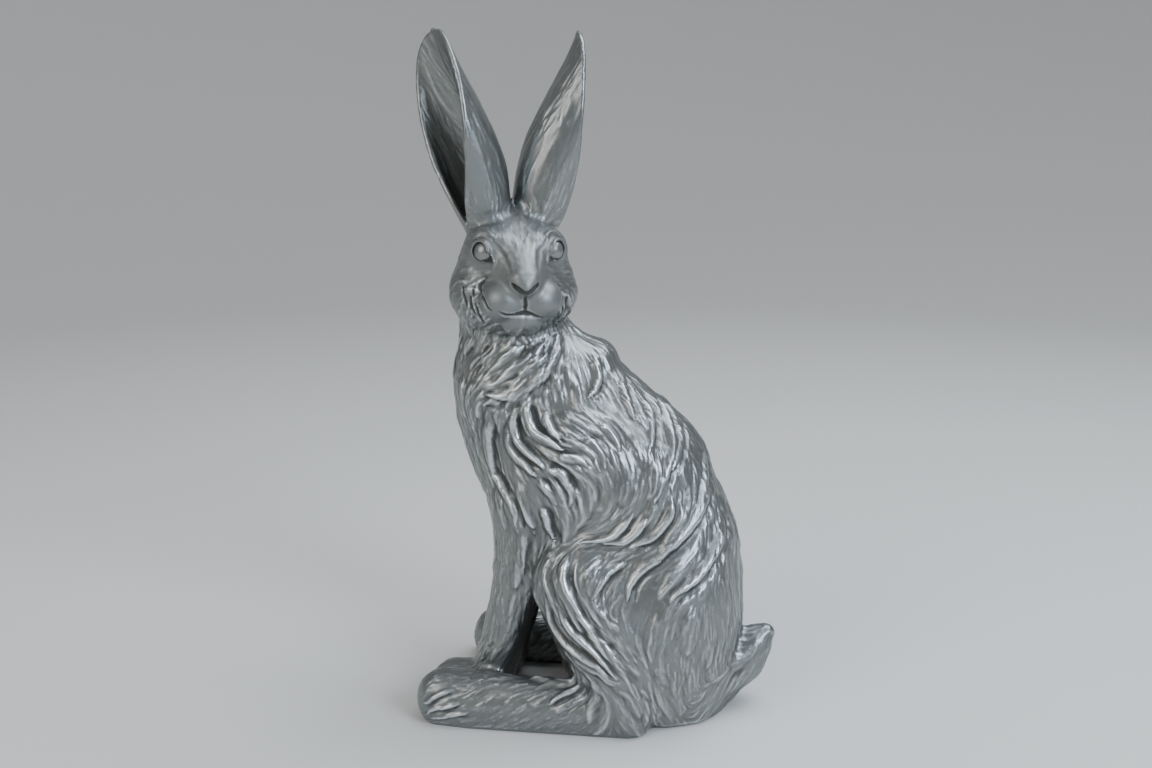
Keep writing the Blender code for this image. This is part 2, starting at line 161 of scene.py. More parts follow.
def row(p, balls, squash=(1, 1, 1)):
    """Distance to a wrapped row of balls, narrowed along each axis by its squash."""
    squash = np.array(squash, np.float32)
    q = p / squash
    centres = [np.array(ball[:3], np.float32) / squash for ball in balls]
    if len(balls) == 1:
        return (np.linalg.norm(q - centres[0], axis=1) - balls[0][3]) * squash.min()
    parts = [round_cone(q, a, one[3], b, two[3])
             for a, b, one, two in zip(centres, centres[1:], balls, balls[1:])]
    return np.minimum.reduce(parts) * squash.min()


def shifted(balls, by):
    """The same balls moved along x, each by its own amount."""
    return [(x + move, y, z, radius) for (x, y, z, radius), move in zip(balls, by)]


# %% The body's own forms, in the order in which they are melted together
FAR_SHIN = shifted(SHIN, [FAR_FOOT_BACK * 0.2 * n for n in range(4)])
FAR_FOOT = shifted(FOOT, [FAR_FOOT_BACK * 0.6] + [FAR_FOOT_BACK] * 3)
FAR_PAW = shifted(FOREPAW, [0, FAR_PAW_SHORTER])
BODY_FORMS = [  # name, balls, squash, softness, side: 0 middle, 2 both alike, -1 left, 1 right
    ("trunk", TRUNK, (1, 0.78, 1), 10, 0),
    ("trunk", RUMP, (1, 0.94, 1), 10, 0),
    ("trunk", WITHERS, (1, 1.4, 1), 6, 0),
    ("chest", CHEST, (1, 0.86, 1), 10, 0),
    ("shoulder", SHOULDER, (1, 1, 1), 14, 2),
    ("haunch", HAUNCH, (1, 0.66, 1), 9, 2),
    ("shin", SHIN, (1, 0.8, 1), 8, -1),
    ("shin", FAR_SHIN, (1, 0.8, 1), 8, 1),
    ("foot", FOOT, (1, 0.88, 1.14), 6, -1),
    ("foot", FAR_FOOT, (1, 0.88, 1.14), 6, 1),
    ("foreleg", FORELEG, (1, 1, 1), 8, 2),
    ("forepaw", FOREPAW, (1, 1, 1), 5, -1),
    ("forepaw", FAR_PAW, (1, 1, 1), 5, 1),
    ("tail", TAIL, (1, 1, 1), 6, 0),
    ("neck", NECK, (1, 1, 1), 8, 0)]
FAR_AWAY = 60.0
BOX_MARGIN = 30
NEARER_BY = 1.0


def near_box(p, balls, margin):
    """Which points lie within a margin of the balls' box, so that the others can be skipped."""
    table = np.array(balls, np.float32)
    low = (table[:, :3] - table[:, 3:]).min(0) - margin
    high = (table[:, :3] + table[:, 3:]).max(0) + margin
    return ((p > low) & (p < high)).all(1)


def body_distance(p, names=None):
    """Distance to everything below the head; names gathers which form each point belongs to."""
    out = np.full(len(p), FAR_AWAY, np.float32)
    mirrored = p * np.array([1, -1, 1], np.float32)
    folded = p.copy()
    folded[:, 1] = -np.abs(folded[:, 1])
    for number, (_, balls, squash, soft, side) in enumerate(BODY_FORMS):
        q = {0: p, 2: folded, -1: p, 1: mirrored}[side]
        at = near_box(q, balls, BOX_MARGIN)
        if not at.any():
            continue
        one = row(q[at], balls, squash).astype(np.float32)
        if names is not None:
            closer = one < names[0][at] - NEARER_BY
            names[0][at] = np.where(closer, one, names[0][at])
            names[1][at] = np.where(closer, number, names[1][at])
        out[at] = soft_min(out[at], one, soft)
    return out


# %% [markdown]
# ## The head
#
# The head is made the same way in its own frame, folded at its middle so that both halves are
# alike.  The eyes need lids: a low mound is laid round each eye and an almond-shaped hollow is sunk
# into it, deeper than the eyeball, with a notch at the tear corner.  The eyeball is a ball of its
# own in that hollow.  The nose gets a V-shaped leather, cut free by two slanting nostrils.

# %% Eyes and nose in the head's distance
GAZE_TURN = math.radians(50)
GAZE_LIFT = 0.16
gaze = np.array([math.sin(GAZE_TURN), -math.cos(GAZE_TURN), GAZE_LIFT])
gaze /= np.linalg.norm(gaze)
lid_up = np.array([0, 0, 1.0]) - gaze * gaze[2]
lid_up /= np.linalg.norm(lid_up)
lid_back = np.cross(gaze, lid_up)
lid_back *= np.sign(lid_back[1])
LID_TILT = math.radians(27)
lid_long = lid_back * math.cos(LID_TILT) + lid_up * math.sin(LID_TILT)
lid_high = -lid_back * math.sin(LID_TILT) + lid_up * math.cos(LID_TILT)
LID_MOUND = (7.6, 7.2, 6.4)
MOUND_BACK = 1.4
LID_OPENING = (4.5, 4.3)
LID_INWARD = 0.7
LID_FLOOR = 5.2


def lid_line(turns, long, high, ahead, radius):
    """Balls along part of an ellipse about the eye, from turns in degrees."""
    return [tuple(EYE_AT + lid_long * (long * math.cos(t) - LID_INWARD) + lid_high * high * math.sin(t)
                  + gaze * ahead) + (radius,) for t in np.radians(turns)]


TEAR_TILT = math.radians(31)
tear_way = -lid_back * math.cos(TEAR_TILT) - lid_up * math.sin(TEAR_TILT)
TEAR = EYE_AT + tear_way * 9.6 + gaze * 3.2
UPPER_LID = [*lid_line([-30, 5, 36, 64, 90, 116, 142, 165], 5.6, 5.1, 5.0, 1.8), (*TEAR, 1.1)]
LOWER_LID = [*lid_line([-30, -60, -90, -120], 5.5, 5.4, 4.4, 0.8), (*TEAR, 0.7)]
LID_CREASE = lid_line([20, 50, 80, 105, 130, 155, 175], 8.1, 8.0, 4.5, 0.6)
LID_FOLD = lid_line([25, 50, 75, 95], 10.2, 10.0, 2.4, 1.2)
TEAR_NOTCH = [tuple(EYE_AT + tear_way * 3.2 + gaze * 5) + (2.9,),
              tuple(EYE_AT + tear_way * 9.4 + gaze * 4.6) + (0.8,)]
NOSTRIL = [(6.4, -42.0, 0.7, 0.7), (4.4, -44.6, -1.9, 1.2), (2.2, -46.0, -4.2, 1.5), (0, -46.4, -5.6, 1.8)]
NOSE_LEATHER = [(0, -42.8, -1.6, 4.4), (2.8, -42.0, 0.6, 3.2)]
NOSE_WING = [(5.6, -39.4, 3.2, 2.6), (3.6, -41.8, 3.6, 2.8)]
print("the eyes look", round(math.degrees(GAZE_TURN)), "degrees to the side of the nose")

# %% Distance to the head
HEAD_FORMS = [  # balls, squash, softness, and True where each half has its own
    (NAPE, (1, 1, 1), 9, False),
    (BROW, (1, 1, 1), 8, True),
    (CHEEK, (1, 1.2, 1.05), 11, True),
    (BRIDGE, (1, 1, 1), 8, False),
    (MUZZLE, (1, 1, 1), 9, False),
    (THROAT, (1, 1, 1), 9, False),
    (BROW_RIDGE, (1, 1, 1), 6, True),
    (CHIN, (1, 1, 1), 4, True),
    (LOWER_LIP, (1, 1, 1), 2.5, True),
    (MUZZLE_PAD, (1, 1.05, 0.92), 1.8, True),
    (NOSE_WING, (1, 1, 1), 3, True),
    (NOSE_LEATHER, (1, 1, 1), 1.6, True)]
SKULL_SQUASH = (1, 1.15, 0.95)
MOUND_SOFT = 4
LID_ROWS = [(LID_FOLD, 1.6), (LOWER_LID, 0.7), (UPPER_LID, 0.8)]
HOLLOW_SOFT = 0.5
CARVED_SOFT = 0.7


def head_distance(p):
    """Distance to the head without its ears, in its own frame: the forms are melted together, a
    mound and the lids are laid round each eye, and then the eye's hollow, the crease over the lid
    and the nostrils are carved out, which is the same soft minimum with all signs turned."""
    half = p.copy()
    half[:, 0] = np.abs(half[:, 0])
    d = row(p, SKULL, SKULL_SQUASH)
    for balls, squash, soft, both in HEAD_FORMS:
        d = soft_min(d, row(half if both else p, balls, squash), soft)
    eye = half - EYE_AT
    across = eye @ lid_long
    upward = eye @ lid_high
    ahead = eye @ gaze
    reach = np.sqrt(((across - MOUND_BACK) / LID_MOUND[0]) ** 2 + (upward / LID_MOUND[1]) ** 2
                    + (ahead / LID_MOUND[2]) ** 2)
    d = soft_min(d, (reach - 1) * LID_MOUND[2], MOUND_SOFT)
    for balls, soft in LID_ROWS:
        d = soft_min(d, row(half, balls), soft)
    opening = np.hypot((across + LID_INWARD) / LID_OPENING[0], upward / LID_OPENING[1]) - 1
    opening *= LID_OPENING[1]
    opening = np.minimum(opening, row(half, TEAR_NOTCH))
    hollow = np.maximum(np.maximum(opening, LID_FLOOR - np.linalg.norm(eye, axis=1)), -ahead)
    d = -soft_min(-d, hollow, HOLLOW_SOFT)
    d = -soft_min(-d, row(half, LID_CREASE), CARVED_SOFT)
    return -soft_min(-d, row(half, NOSTRIL), CARVED_SOFT)


# %% [markdown]
# ## The ears
#
# An ear is a leaf rolled about its back line: almost a closed tube at the root, and an open dish at
# the tip.  It could be a bent sheet with a wall from Solidify.  As a distance it melts into the skull
# without a seam.  The ear is measured in a frame of its own: up along the ear, out of its opening,
# and across.  In each section the wall is an arc whose half-angle shrinks with height.

# %% Ear distance
EAR_LENGTH = np.linalg.norm(EAR_TIP - EAR_ROOT)
EAR_BOW_LOW = 9.5
EAR_BOW_HIGH = 2.5
EAR_ROOT_RADIUS = 11
EAR_WIDENS = 12.5
EAR_UNROLLS = 155
EAR_WALL = 1.75
EAR_WALL_LOSES = 0.35
STUB = [(10.5, -10), (12, 4)]   # how far out of the opening, and how far up along the ear
STUB_RADIUS = 11.5
STUB_SOFT = 3


def ear_frame(side):
    """Unit vectors of an ear: along it, out of its opening, and across, for an ear on +x."""
    along = (EAR_TIP - EAR_ROOT) / EAR_LENGTH
    opens = np.array([math.sin(EAR_OPENS[side]), -math.cos(EAR_OPENS[side]), 0])
    opens -= along * (opens @ along)
    opens /= np.linalg.norm(opens)
    return along, opens, np.cross(along, opens)


def ear_section(p, side):
    """Share of the height, place out of the opening and across from the arc's centre, the arc's
    half-angle and its radius, for each point.  The ear's line is bowed by two half sine waves, inward
    low down and outward higher up, and the half-angle closes as a round arch at the very tip."""
    along, opens, across = ear_frame(side)
    outward = np.array([1, 0, 0]) - along * along[0]
    outward /= np.linalg.norm(outward)
    r = p * np.array([side, 1, 1]) - EAR_ROOT
    share = (r @ along) / EAR_LENGTH
    t = np.clip(share, 0, 1)
    wave = np.sin(math.pi * t)
    bow = -EAR_BOW_LOW * wave * (1 - t) ** 0.6 + EAR_BOW_HIGH * wave * t ** 2
    r = r - bow[:, None] * outward
    radius = EAR_ROOT_RADIUS + EAR_WIDENS * t ** 0.6
    half = np.radians(180 - EAR_UNROLLS * t) * np.sqrt(np.clip(1 - t ** 24, 0, 1))
    return share, r @ opens - radius, r @ across, half, radius


def ear_distance(p, side):
    """Distance to one ear: to its arc where the arc is, else to the arc's rims, less half the wall.
    A short stub fills the tube at the root and melts into it."""
    along, opens, _ = ear_frame(side)
    share, out, over, half, radius = ear_section(p, side)
    on_arc = np.abs(np.hypot(out, over) - radius)
    to_rim = np.hypot(np.abs(over) - radius * np.sin(half), out + radius * np.cos(half))
    d = np.where(np.abs(np.arctan2(over, -out)) < half, on_arc, to_rim)
    past = (np.maximum(share - 1, 0) + np.maximum(-share, 0)) * EAR_LENGTH
    wall = EAR_WALL - EAR_WALL_LOSES * np.clip(share, 0, 1)
    d = np.hypot(d, past) - wall
    balls = [(*(EAR_ROOT + opens * forth + along * up), STUB_RADIUS) for forth, up in STUB]
    stub = row((p * np.array([side, 1, 1])).astype(np.float32), balls)
    return soft_min(d, stub, STUB_SOFT)


# %% The whole hare's distance
HEAD_ABOVE = 190
HEAD_BELOW = 62
NECK_SOFT = 3.5
EAR_SOFT = 5


def hare_distance(points):
    """Distance to the whole hare, cut flat at the floor."""
    p = np.ascontiguousarray(points, np.float32)
    d = body_distance(p)
    up = p[:, 2] > HEAD_ABOVE
    if up.any():
        q = to_head(p[up]).astype(np.float32)
        head = np.full(len(q), FAR_AWAY, np.float32)
        at = q[:, 2] < HEAD_BELOW
        head[at] = head_distance(q[at])
        ears = np.full(len(q), FAR_AWAY, np.float32)
        at = q[:, 2] > 0
        ears[at] = np.minimum(ear_distance(q[at], -1), ear_distance(q[at], 1))
        d[up] = soft_min(soft_min(d[up], head, NECK_SOFT), ears, EAR_SOFT)
    return np.maximum(d, -p[:, 2])


def slope(points, step=0.3):
    """The distance and its direction of fastest growth, from four samples round each point."""
    corners = np.array([(1, -1, -1), (-1, -1, 1), (-1, 1, -1), (1, 1, 1)], np.float32)
    values = [hare_distance(points + corner * step) for corner in corners]
    growth = sum(value[:, None] * corner for value, corner in zip(values, corners)) / (4 * step)
    return sum(values) / 4, growth


# %% [markdown]
# ## From distance to surface
#
# Blender's own remesher works on meshes, so the surface is drawn from the distance here.  The space
# is a grid of small cells.  Where the surface passes through a cell, one point is placed at the mean
# of the crossings of its edges, and every crossed edge becomes a four-sided face between the four
# cells round it.  Only the cells near the surface are worked out.  Then every face is split in
# four and all points are moved onto the true surface.

# %% Grid near the surface
CELL = 1.25
COARSE = 6
BLOCK = CELL * COARSE
BLOCK_REACH = 1.25
BATCH = 400000
grid_low = np.array([-103.0, -66, -4])
grid_high = np.array([120.0, 66, 386])
blocks = np.ceil((grid_high - grid_low) / BLOCK).astype(int)


def grid_points(shape, spacing, offset):
    """All points of a grid, as one long list."""
    axes = [grid_low[k] + offset + spacing * np.arange(shape[k]) for k in range(3)]
    return np.stack(np.meshgrid(*axes, indexing="ij"), -1).reshape(-1, 3).astype(np.float32)


rough = hare_distance(grid_points(blocks, BLOCK, BLOCK / 2)).reshape(blocks)
field = rough.repeat(COARSE, 0).repeat(COARSE, 1).repeat(COARSE, 2)
places = np.argwhere(np.abs(field) < BLOCK * BLOCK_REACH)
for start in range(0, len(places), BATCH):
    some = places[start:start + BATCH]
    field[tuple(some.T)] = hare_distance(grid_low + some * CELL)
print("worked out", len(places), "of", field.size, "grid points")


# %% Faces between the cells
def net_of(values):
    """One point per crossed cell, one face per crossed edge; also the cells' own numbering."""
    inside = values < 0
    cells = tuple(n - 1 for n in values.shape)
    total = np.zeros((*cells, 3), np.float32)
    crossings = np.zeros(cells, np.int8)
    faces = []
    corner_ids = [(i, j) for i in (0, 1) for j in (0, 1)]
    crossed_edges = []
    for axis in range(3):
        a = [slice(None)] * 3
        b = [slice(None)] * 3
        a[axis], b[axis] = slice(0, -1), slice(1, None)
        va, vb = values[tuple(a)], values[tuple(b)]
        crossed = inside[tuple(a)] != inside[tuple(b)]
        share = np.where(crossed, va / np.where(crossed, va - vb, 1), 0)
        crossed_edges.append(crossed)
        others = [k for k in range(3) if k != axis]
        for i, j in corner_ids:
            pick = [slice(None)] * 3
            pick[others[0]] = slice(i, i + cells[others[0]])
            pick[others[1]] = slice(j, j + cells[others[1]])
            hit = crossed[tuple(pick)]
            crossings += hit
            total[..., axis] += np.where(hit, share[tuple(pick)], 0)
            total[..., others[0]] += hit * i
            total[..., others[1]] += hit * j
    busy = np.argwhere(crossings > 0)
    ids = np.full(cells, -1, np.int32)
    at = tuple(busy.T)
    ids[at] = np.arange(len(busy))
    verts = grid_low + (busy + total[at] / crossings[at][:, None]) * CELL
    for axis, crossed in enumerate(crossed_edges):
        others = [k for k in range(3) if k != axis]
        edge = np.argwhere(crossed)
        edge = edge[(edge[:, others[0]] > 0) & (edge[:, others[1]] > 0)]
        ring = []
        for i, j in ((1, 1), (0, 1), (0, 0), (1, 0)):
            cell = edge.copy()
            cell[:, others[0]] -= i
            cell[:, others[1]] -= j
            ring.append(ids[tuple(cell.T)])
        quad = np.stack(ring, 1)
        flip = inside[tuple(edge.T)] == (axis == 1)
        quad[flip] = quad[flip][:, ::-1]
        faces.append(quad)
    return verts, np.concatenate(faces), ids


points, quads, cell_ids = net_of(field)
print("first net:", len(points), "points,", len(quads), "faces")


# %% Helpers on the net
LEAST_GROWTH = 0.3      # keeps a step short where the distance is almost level


def edges_of(quads):
    """The two ends of every edge once, and for each face the numbers of its four edges."""
    ends = np.stack([quads, np.roll(quads, -1, 1)], -1).reshape(-1, 2)
    ends.sort(1)
    key = ends[:, 0].astype(np.int64) * (quads.max() + 1) + ends[:, 1]
    _, first, back = np.unique(key, return_index=True, return_inverse=True)
    return ends[first], back.reshape(-1, 4)


def neighbour_mean(values, ends):
    """For each point the mean of its neighbours' values."""
    n = len(values)
    flat = values.reshape(n, -1)
    out = np.empty_like(flat, np.float64)
    weight = np.bincount(ends.ravel(), minlength=n)
    for k in range(flat.shape[1]):
        column = flat[:, k]
        out[:, k] = (np.bincount(ends[:, 0], column[ends[:, 1]], n)
                     + np.bincount(ends[:, 1], column[ends[:, 0]], n)) / np.maximum(weight, 1)
    return out.reshape(values.shape)


def point_normals(points, quads):
    """Unit normals of the points: the faces' normals, from their diagonals, summed at corners."""
    corners = points[quads]
    face = np.cross(corners[:, 2] - corners[:, 0], corners[:, 3] - corners[:, 1])
    out = np.stack([np.bincount(quads.ravel(), np.repeat(face[:, k], 4), len(points)) for k in range(3)], 1)
    return out / np.maximum(np.linalg.norm(out, axis=1, keepdims=True), TINY)


def onto_surface(points, rounds):
    """Moves points along the slope of the distance until they lie on the surface."""
    for _ in range(rounds):
        for start in range(0, len(points), BATCH):
            some = points[start:start + BATCH]
            value, growth = slope(some)
            size2 = np.maximum((growth ** 2).sum(1), LEAST_GROWTH)
            some -= growth * np.clip(value / size2, -1, 1)[:, None]
    return points


# %% Even out, split in four, and settle on the surface
EVENED = 0.6
EVENED_AGAIN = 0.4
ends, face_edges = edges_of(quads)
for _ in range(3):
    points = points + EVENED * (neighbour_mean(points, ends) - points)
points = onto_surface(points, 1)
coarse_points = points
coarse_normals = point_normals(points, quads)
middles = points[ends].mean(1)
centres = points[quads].mean(1)
edge_ids = face_edges + len(points)
centre_ids = np.arange(len(quads)) + len(points) + len(ends)
quads = np.stack([np.stack([quads[:, k], edge_ids[:, k], centre_ids, edge_ids[:, k - 1]], 1)
                  for k in range(4)], 1).reshape(-1, 4)
points = onto_surface(np.concatenate([points, middles, centres]), 2)
ends, _ = edges_of(quads)
points = points + EVENED_AGAIN * (neighbour_mean(points, ends) - points)
normals = point_normals(points, quads)
print("settled net:", len(points), "points,", len(quads), "faces")


# %% [markdown]
# ## Which coat grows where
#
# On a hare the hair is long and wavy on the chest and flanks, shorter on the legs, and very short
# on the feet and face.  Each point of the surface is given to the form that it lies nearest to,
# and each form has its own coat: length, half width and height of a stroke, in millimetres, first
# for the soft swells of the coat, then for its strands, and then for the fine combing on top.

# %% Coats
COATS = {
    "trunk": ((44, 5.0, 1.1), (28, 1.7, 0.42), (15, 0.85, 0.22)),
    "chest": ((42, 5.0, 1.4), (26, 1.8, 0.5), (14, 0.85, 0.26)),
    "neck": ((24, 3.2, 1.3), (16, 1.5, 0.55), (10, 0.85, 0.28)),
    "shoulder": ((40, 4.4, 1.5), (26, 1.8, 0.55), (14, 0.85, 0.26)),
    "haunch": ((46, 5.0, 1.1), (28, 1.8, 0.42), (15, 0.85, 0.22)),
    "shin": ((40, 3.8, 1.3), (26, 1.7, 0.5), (14, 0.85, 0.24)),
    "foot": ((16, 3.0, 0.3), (13, 1.3, 0.26), (9, 0.8, 0.18)),
    "foreleg": ((22, 3.4, 0.35), (16, 1.4, 0.26), (9, 0.8, 0.18)),
    "forepaw": ((14, 3.0, 0.3), (11, 1.3, 0.26), (7, 0.75, 0.18)),
    "tail": ((30, 3.8, 0.4), (22, 1.5, 0.35), (13, 0.85, 0.2)),
    "head": ((16, 2.2, 0.5), (14, 1.2, 0.32), (9, 0.8, 0.22)),
    "ear": ((40, 3.0, 0.3), (34, 1.3, 0.2), (20, 0.75, 0.14))}
HEAD_FROM = -45
EAR_SKIN = 0.6
ON_BODY, ON_HEAD = 0, 1
ON_EAR = {-1: 2, 1: 3}
coat_names = list(COATS)
rng = np.random.default_rng(23)
chosen = [np.full(len(coarse_points), FAR_AWAY, np.float32), np.zeros(len(coarse_points), int)]
body_near = body_distance(coarse_points.astype(np.float32), chosen)
coat = np.array([coat_names.index(form[0]) for form in BODY_FORMS])[chosen[1]]
head_points = to_head(coarse_points)
upper = head_points[:, 2] > HEAD_FROM
head_near = np.where(upper, head_distance(head_points.astype(np.float32)), FAR_AWAY)
ear_near = {side: np.where(upper, ear_distance(head_points, side), FAR_AWAY) for side in (-1, 1)}
coat[head_near < body_near] = coat_names.index("head")
kind = np.where(head_near < body_near, ON_HEAD, ON_BODY)
for side, number in ON_EAR.items():
    on_ear = (ear_near[side] < EAR_SKIN) & (ear_near[side] < head_near) & (ear_near[side] < ear_near[-side])
    coat[on_ear] = coat_names.index("ear")
    kind[on_ear] = number
print({name: int((coat == k).sum()) for k, name in enumerate(coat_names)})

# %% [markdown]
# ## The lie of the coat
#
# Hair follows the body: back from the nose, down the chest and flanks, round the thigh to the
# heel, and up the ears.  It is written as a comb: at some places of the side view a direction is
# given, and between them the directions are mixed by nearness.  The sculptor's most telling locks,
# in S-curves on the chest and in long grooves on the thigh, are listed one by one as lines in the
# side view, and they steer the comb too.

# %% Locks, drawn one by one: half width, height, then x and z along the lock
LOCKS = [
    (3.6, 2.6, (-18, 188), (-22, 177), (-18, 170), (-11, 167), (-2, 163)),
    (4.0, 2.2, (-34, 172), (-34, 164), (-32, 157), (-25, 152), (-17, 147)),
    (3.0, 2.4, (-13, 182), (-11, 176), (-7, 171), (-2, 168)),
    (4.2, 2.0, (-42, 175), (-46, 165), (-47, 158), (-46, 148), (-42, 138)),
    (3.4, 2.0, (-28, 182), (-31, 171), (-28, 162), (-20, 157), (-12, 153)),
    (3.8, 2.2, (16, 174), (22, 172), (28, 165), (30, 160)),
    (3.4, 1.8, (10, 168), (16, 165), (21, 158), (23, 152)),
    (3.6, 2.0, (-5, 159), (3, 158), (10, 157), (14, 153)),
    (3.6, 1.8, (-12, 150), (-4, 148), (2, 142), (4, 135)),
    (5.2, 2.0, (-4, 214), (-14, 201), (-25, 192), (-34, 188), (-44, 187)),
    (3.2, 1.8, (39, 129), (34, 121), (24, 114), (9, 111)),
    (3.0, 1.8, (47, 128), (42, 119), (35, 113), (22, 111)),
    (3.4, 1.8, (58, 139), (57, 124), (49, 114), (37, 109)),
    (4.2, 2.0, (72, 147), (76, 133), (70, 120), (56, 107), (42, 98)),
    (3.8, 1.8, (86, 121), (84, 106), (74, 93), (59, 82)),
    (3.4, 1.8, (-1, 107), (-9, 100), (-12, 92), (-8, 80), (-2, 66)),
    (3.4, 2.2, (4, 109), (-1, 98), (0, 88), (8, 75), (14, 68)),
    (3.2, 1.6, (36, 101), (27, 98), (21, 89), (18, 82)),
    (3.4, 1.8, (56, 105), (43, 98), (37, 90), (36, 82)),
    (3.2, 2.0, (-12, 78), (-8, 62), (3, 50), (19, 43), (31, 36)),
    (3.0, 2.2, (-6, 80), (2, 64), (13, 54), (23, 48), (32, 38)),
    (3.0, 2.0, (2, 78), (11, 70), (19, 61), (26, 50)),
    (2.6, 1.6, (1, 49), (11, 42), (23, 38), (34, 33)),
    (2.4, 1.4, (10, 31), (3, 26), (-6, 21)),
    (3.4, 1.6, (58, 173), (61, 162), (58, 150)),
    (3.4, 1.8, (44, 186), (52, 176), (57, 164), (58, 154)),
    (3.6, 2.0, (-47, 147), (-44, 140), (-35, 132), (-30, 125), (-28, 114)),
    (3.0, 1.6, (-15, 144), (-9, 136), (-3, 129)),
    (2.8, 1.8, (-14, 127), (-10, 120), (-7, 109)),
    (3.0, 1.4, (1, 145), (5, 137), (3, 128)),
    (3.2, 1.4, (38, 186), (44, 178), (46, 167), (44, 156)),
    (3.4, 1.4, (57, 174), (58, 159), (54, 145), (50, 133)),
    (3.8, 1.8, (69, 167), (74, 151), (75, 134), (68, 119), (54, 105)),
    (3.4, 1.6, (13, 208), (16, 197), (13, 188)),
    (3.0, 1.4, (27, 196), (31, 187), (36, 176)),
    (3.2, 1.6, (20, 62), (28, 52), (36, 38), (42, 24)),
    (1.9, 0.9, (-60, 25), (-71, 21), (-79, 14)),
    (1.9, 0.9, (-57, 18), (-69, 14), (-78, 8)),
    (1.7, 0.8, (-53, 11), (-64, 7), (-74, 4))]
COMB = [  # x, z and the direction there
    (-62, 185, 0.15, -1), (-60, 150, 0.3, -1), (-52, 203, -0.5, -0.8), (-20, 217, -0.5, -0.9),
    (-5, 228, 0, -1), (12, 205, 0.5, -0.9), (-8, 197, 0.1, -1), (2, 182, 0.25, -1), (22, 186, 0.5, -0.85),
    (42, 168, 0.4, -0.9), (64, 152, 0.35, -0.95), (82, 120, 0.1, -1), (90, 80, 0, -1), (88, 40, 0.1, -1),
    (40, 145, 0.15, -1), (20, 145, 0.1, -1), (25, 130, -0.3, -0.95), (5, 140, 0.4, -0.9),
    (-10, 135, 0.1, -1), (-22, 120, -0.1, -1), (-28, 100, -0.15, -1), (-35, 60, -0.2, -1),
    (-45, 30, -0.4, -0.9), (-60, 20, -1, -0.3), (-82, 14, -0.5, -0.8), (-40, 20, -0.8, -0.5),
    (-20, 20, -0.8, -0.5), (0, 18, -0.8, -0.45), (20, 22, -0.6, -0.6), (42, 18, 0.5, -0.8),
    (60, 60, -0.25, -1), (72, 90, -0.2, -1), (56, 38, 0.2, -1), (48, 68, -0.2, -0.95), (78, 50, 0.05, -1),
    (94, 24, 0.7, 0.7), (108, 38, 0.5, 0.85)]
HEAD_COMB = [  # x, y, z in the head's frame on its left, and the direction there
    (0, -42, 6, 0, 0.8, 0.6), (0, -30, 16, 0, 0.8, 0.6), (3, -22, 26, 0.1, 0.5, 0.85),
    (8, -10, 34, 0.3, 0.8, 0.5), (0, 5, 38, 0, 1, 0), (16, -24, 4, 0.6, 0.7, -0.2),
    (24, -14, 2, 0.4, 0.8, -0.4), (30, -2, -5, 0.1, 0.7, -0.7), (33, 2, -15, 0, 0.5, -0.9),
    (24, -12, -20, 0.2, 0.5, -0.8), (22, 8, 14, 0.1, 1, -0.2), (20, 20, 0, 0, 0.6, -0.8),
    (0, 35, 5, 0, 0.3, -1), (0, 30, -20, 0, 0, -1), (6, -34, -24, 0.3, 0.6, -0.7),
    (14, -30, -14, 0.6, 0.7, -0.4), (10, 2, 36, 0.2, 0.6, 0.7)]
segments = [(*a, *b) for lock in LOCKS for a, b in zip(lock[2:], lock[3:])]
segments = np.array(segments, float)
comb = np.concatenate([np.array(COMB, float), np.column_stack([
    (segments[:, :2] + segments[:, 2:]) / 2, segments[:, 2:] - segments[:, :2]])])
comb[:, 2:] /= np.linalg.norm(comb[:, 2:], axis=1, keepdims=True)
head_comb = np.array(HEAD_COMB, float)
print(len(LOCKS), "drawn locks,", len(comb), "comb places on the body,", len(head_comb), "on the head")


# %% Direction of the coat at any point
COMB_REACH = 8.0
HEAD_COMB_REACH = 7.0
EAR_FAN = 0.33
EAR_FAN_WIDTH = 6


def mixed(points, places, directions, reach):
    """Directions mixed with weights that fall as a bell curve of the distance to their places."""
    gap2 = ((points[:, None] - places[None]) ** 2).sum(2)
    gap2 -= gap2.min(1, keepdims=True)
    weight = np.exp(-gap2 / (2 * reach * reach))
    return weight @ directions


def head_vector(vectors):
    """Directions of the head's frame turned into the body's frame."""
    return from_head(vectors) - HEAD_AT


def coat_direction(points, normals, kinds):
    """Unit direction of the hair, along the surface, for points of the given kinds."""
    out = np.zeros_like(points)
    at = kinds == ON_BODY
    flat = mixed(points[at][:, [0, 2]], comb[:, :2], comb[:, 2:], COMB_REACH)
    out[at] = np.stack([flat[:, 0], np.zeros(at.sum()), flat[:, 1]], 1)
    at = kinds == ON_HEAD
    q = to_head(points[at])
    flip = np.concatenate([np.sign(q[:, :1] + TINY), np.ones((len(q), 2))], 1)
    out[at] = head_vector(mixed(q * flip, head_comb[:, :3], head_comb[:, 3:], HEAD_COMB_REACH) * flip)
    for side, number in ON_EAR.items():
        at = kinds == number
        along, _, across = ear_frame(side)
        over = ear_section(to_head(points[at]), side)[2]
        fan = along + EAR_FAN * np.tanh(over / EAR_FAN_WIDTH)[:, None] * across
        out[at] = head_vector(fan * np.array([side, 1, 1]))
    out -= normals * (out * normals).sum(1, keepdims=True)
    return out / np.maximum(np.linalg.norm(out, axis=1, keepdims=True), TINY)


# %% [markdown]
# ## Drawing strokes on the surface
#
# A stroke starts somewhere and is carried along the comb in small steps.  After each step it is
# set back on the surface with the nearest point of the first net, which a table over the cells
# finds at once.  Each step leaves a sample: its place, its direction and the surface's normal.

# %% Finding the surface and following it
finder = cell_ids.copy()
for _ in range(2):
    for axis in range(3):
        for move in (1, -1):
            beside = np.roll(finder, move, axis)
            finder = np.where(finder < 0, beside, finder)
cells_shape = np.array(finder.shape)
WAVE_RATE = 0.16        # radians of a stroke's own S-curve for each millimetre


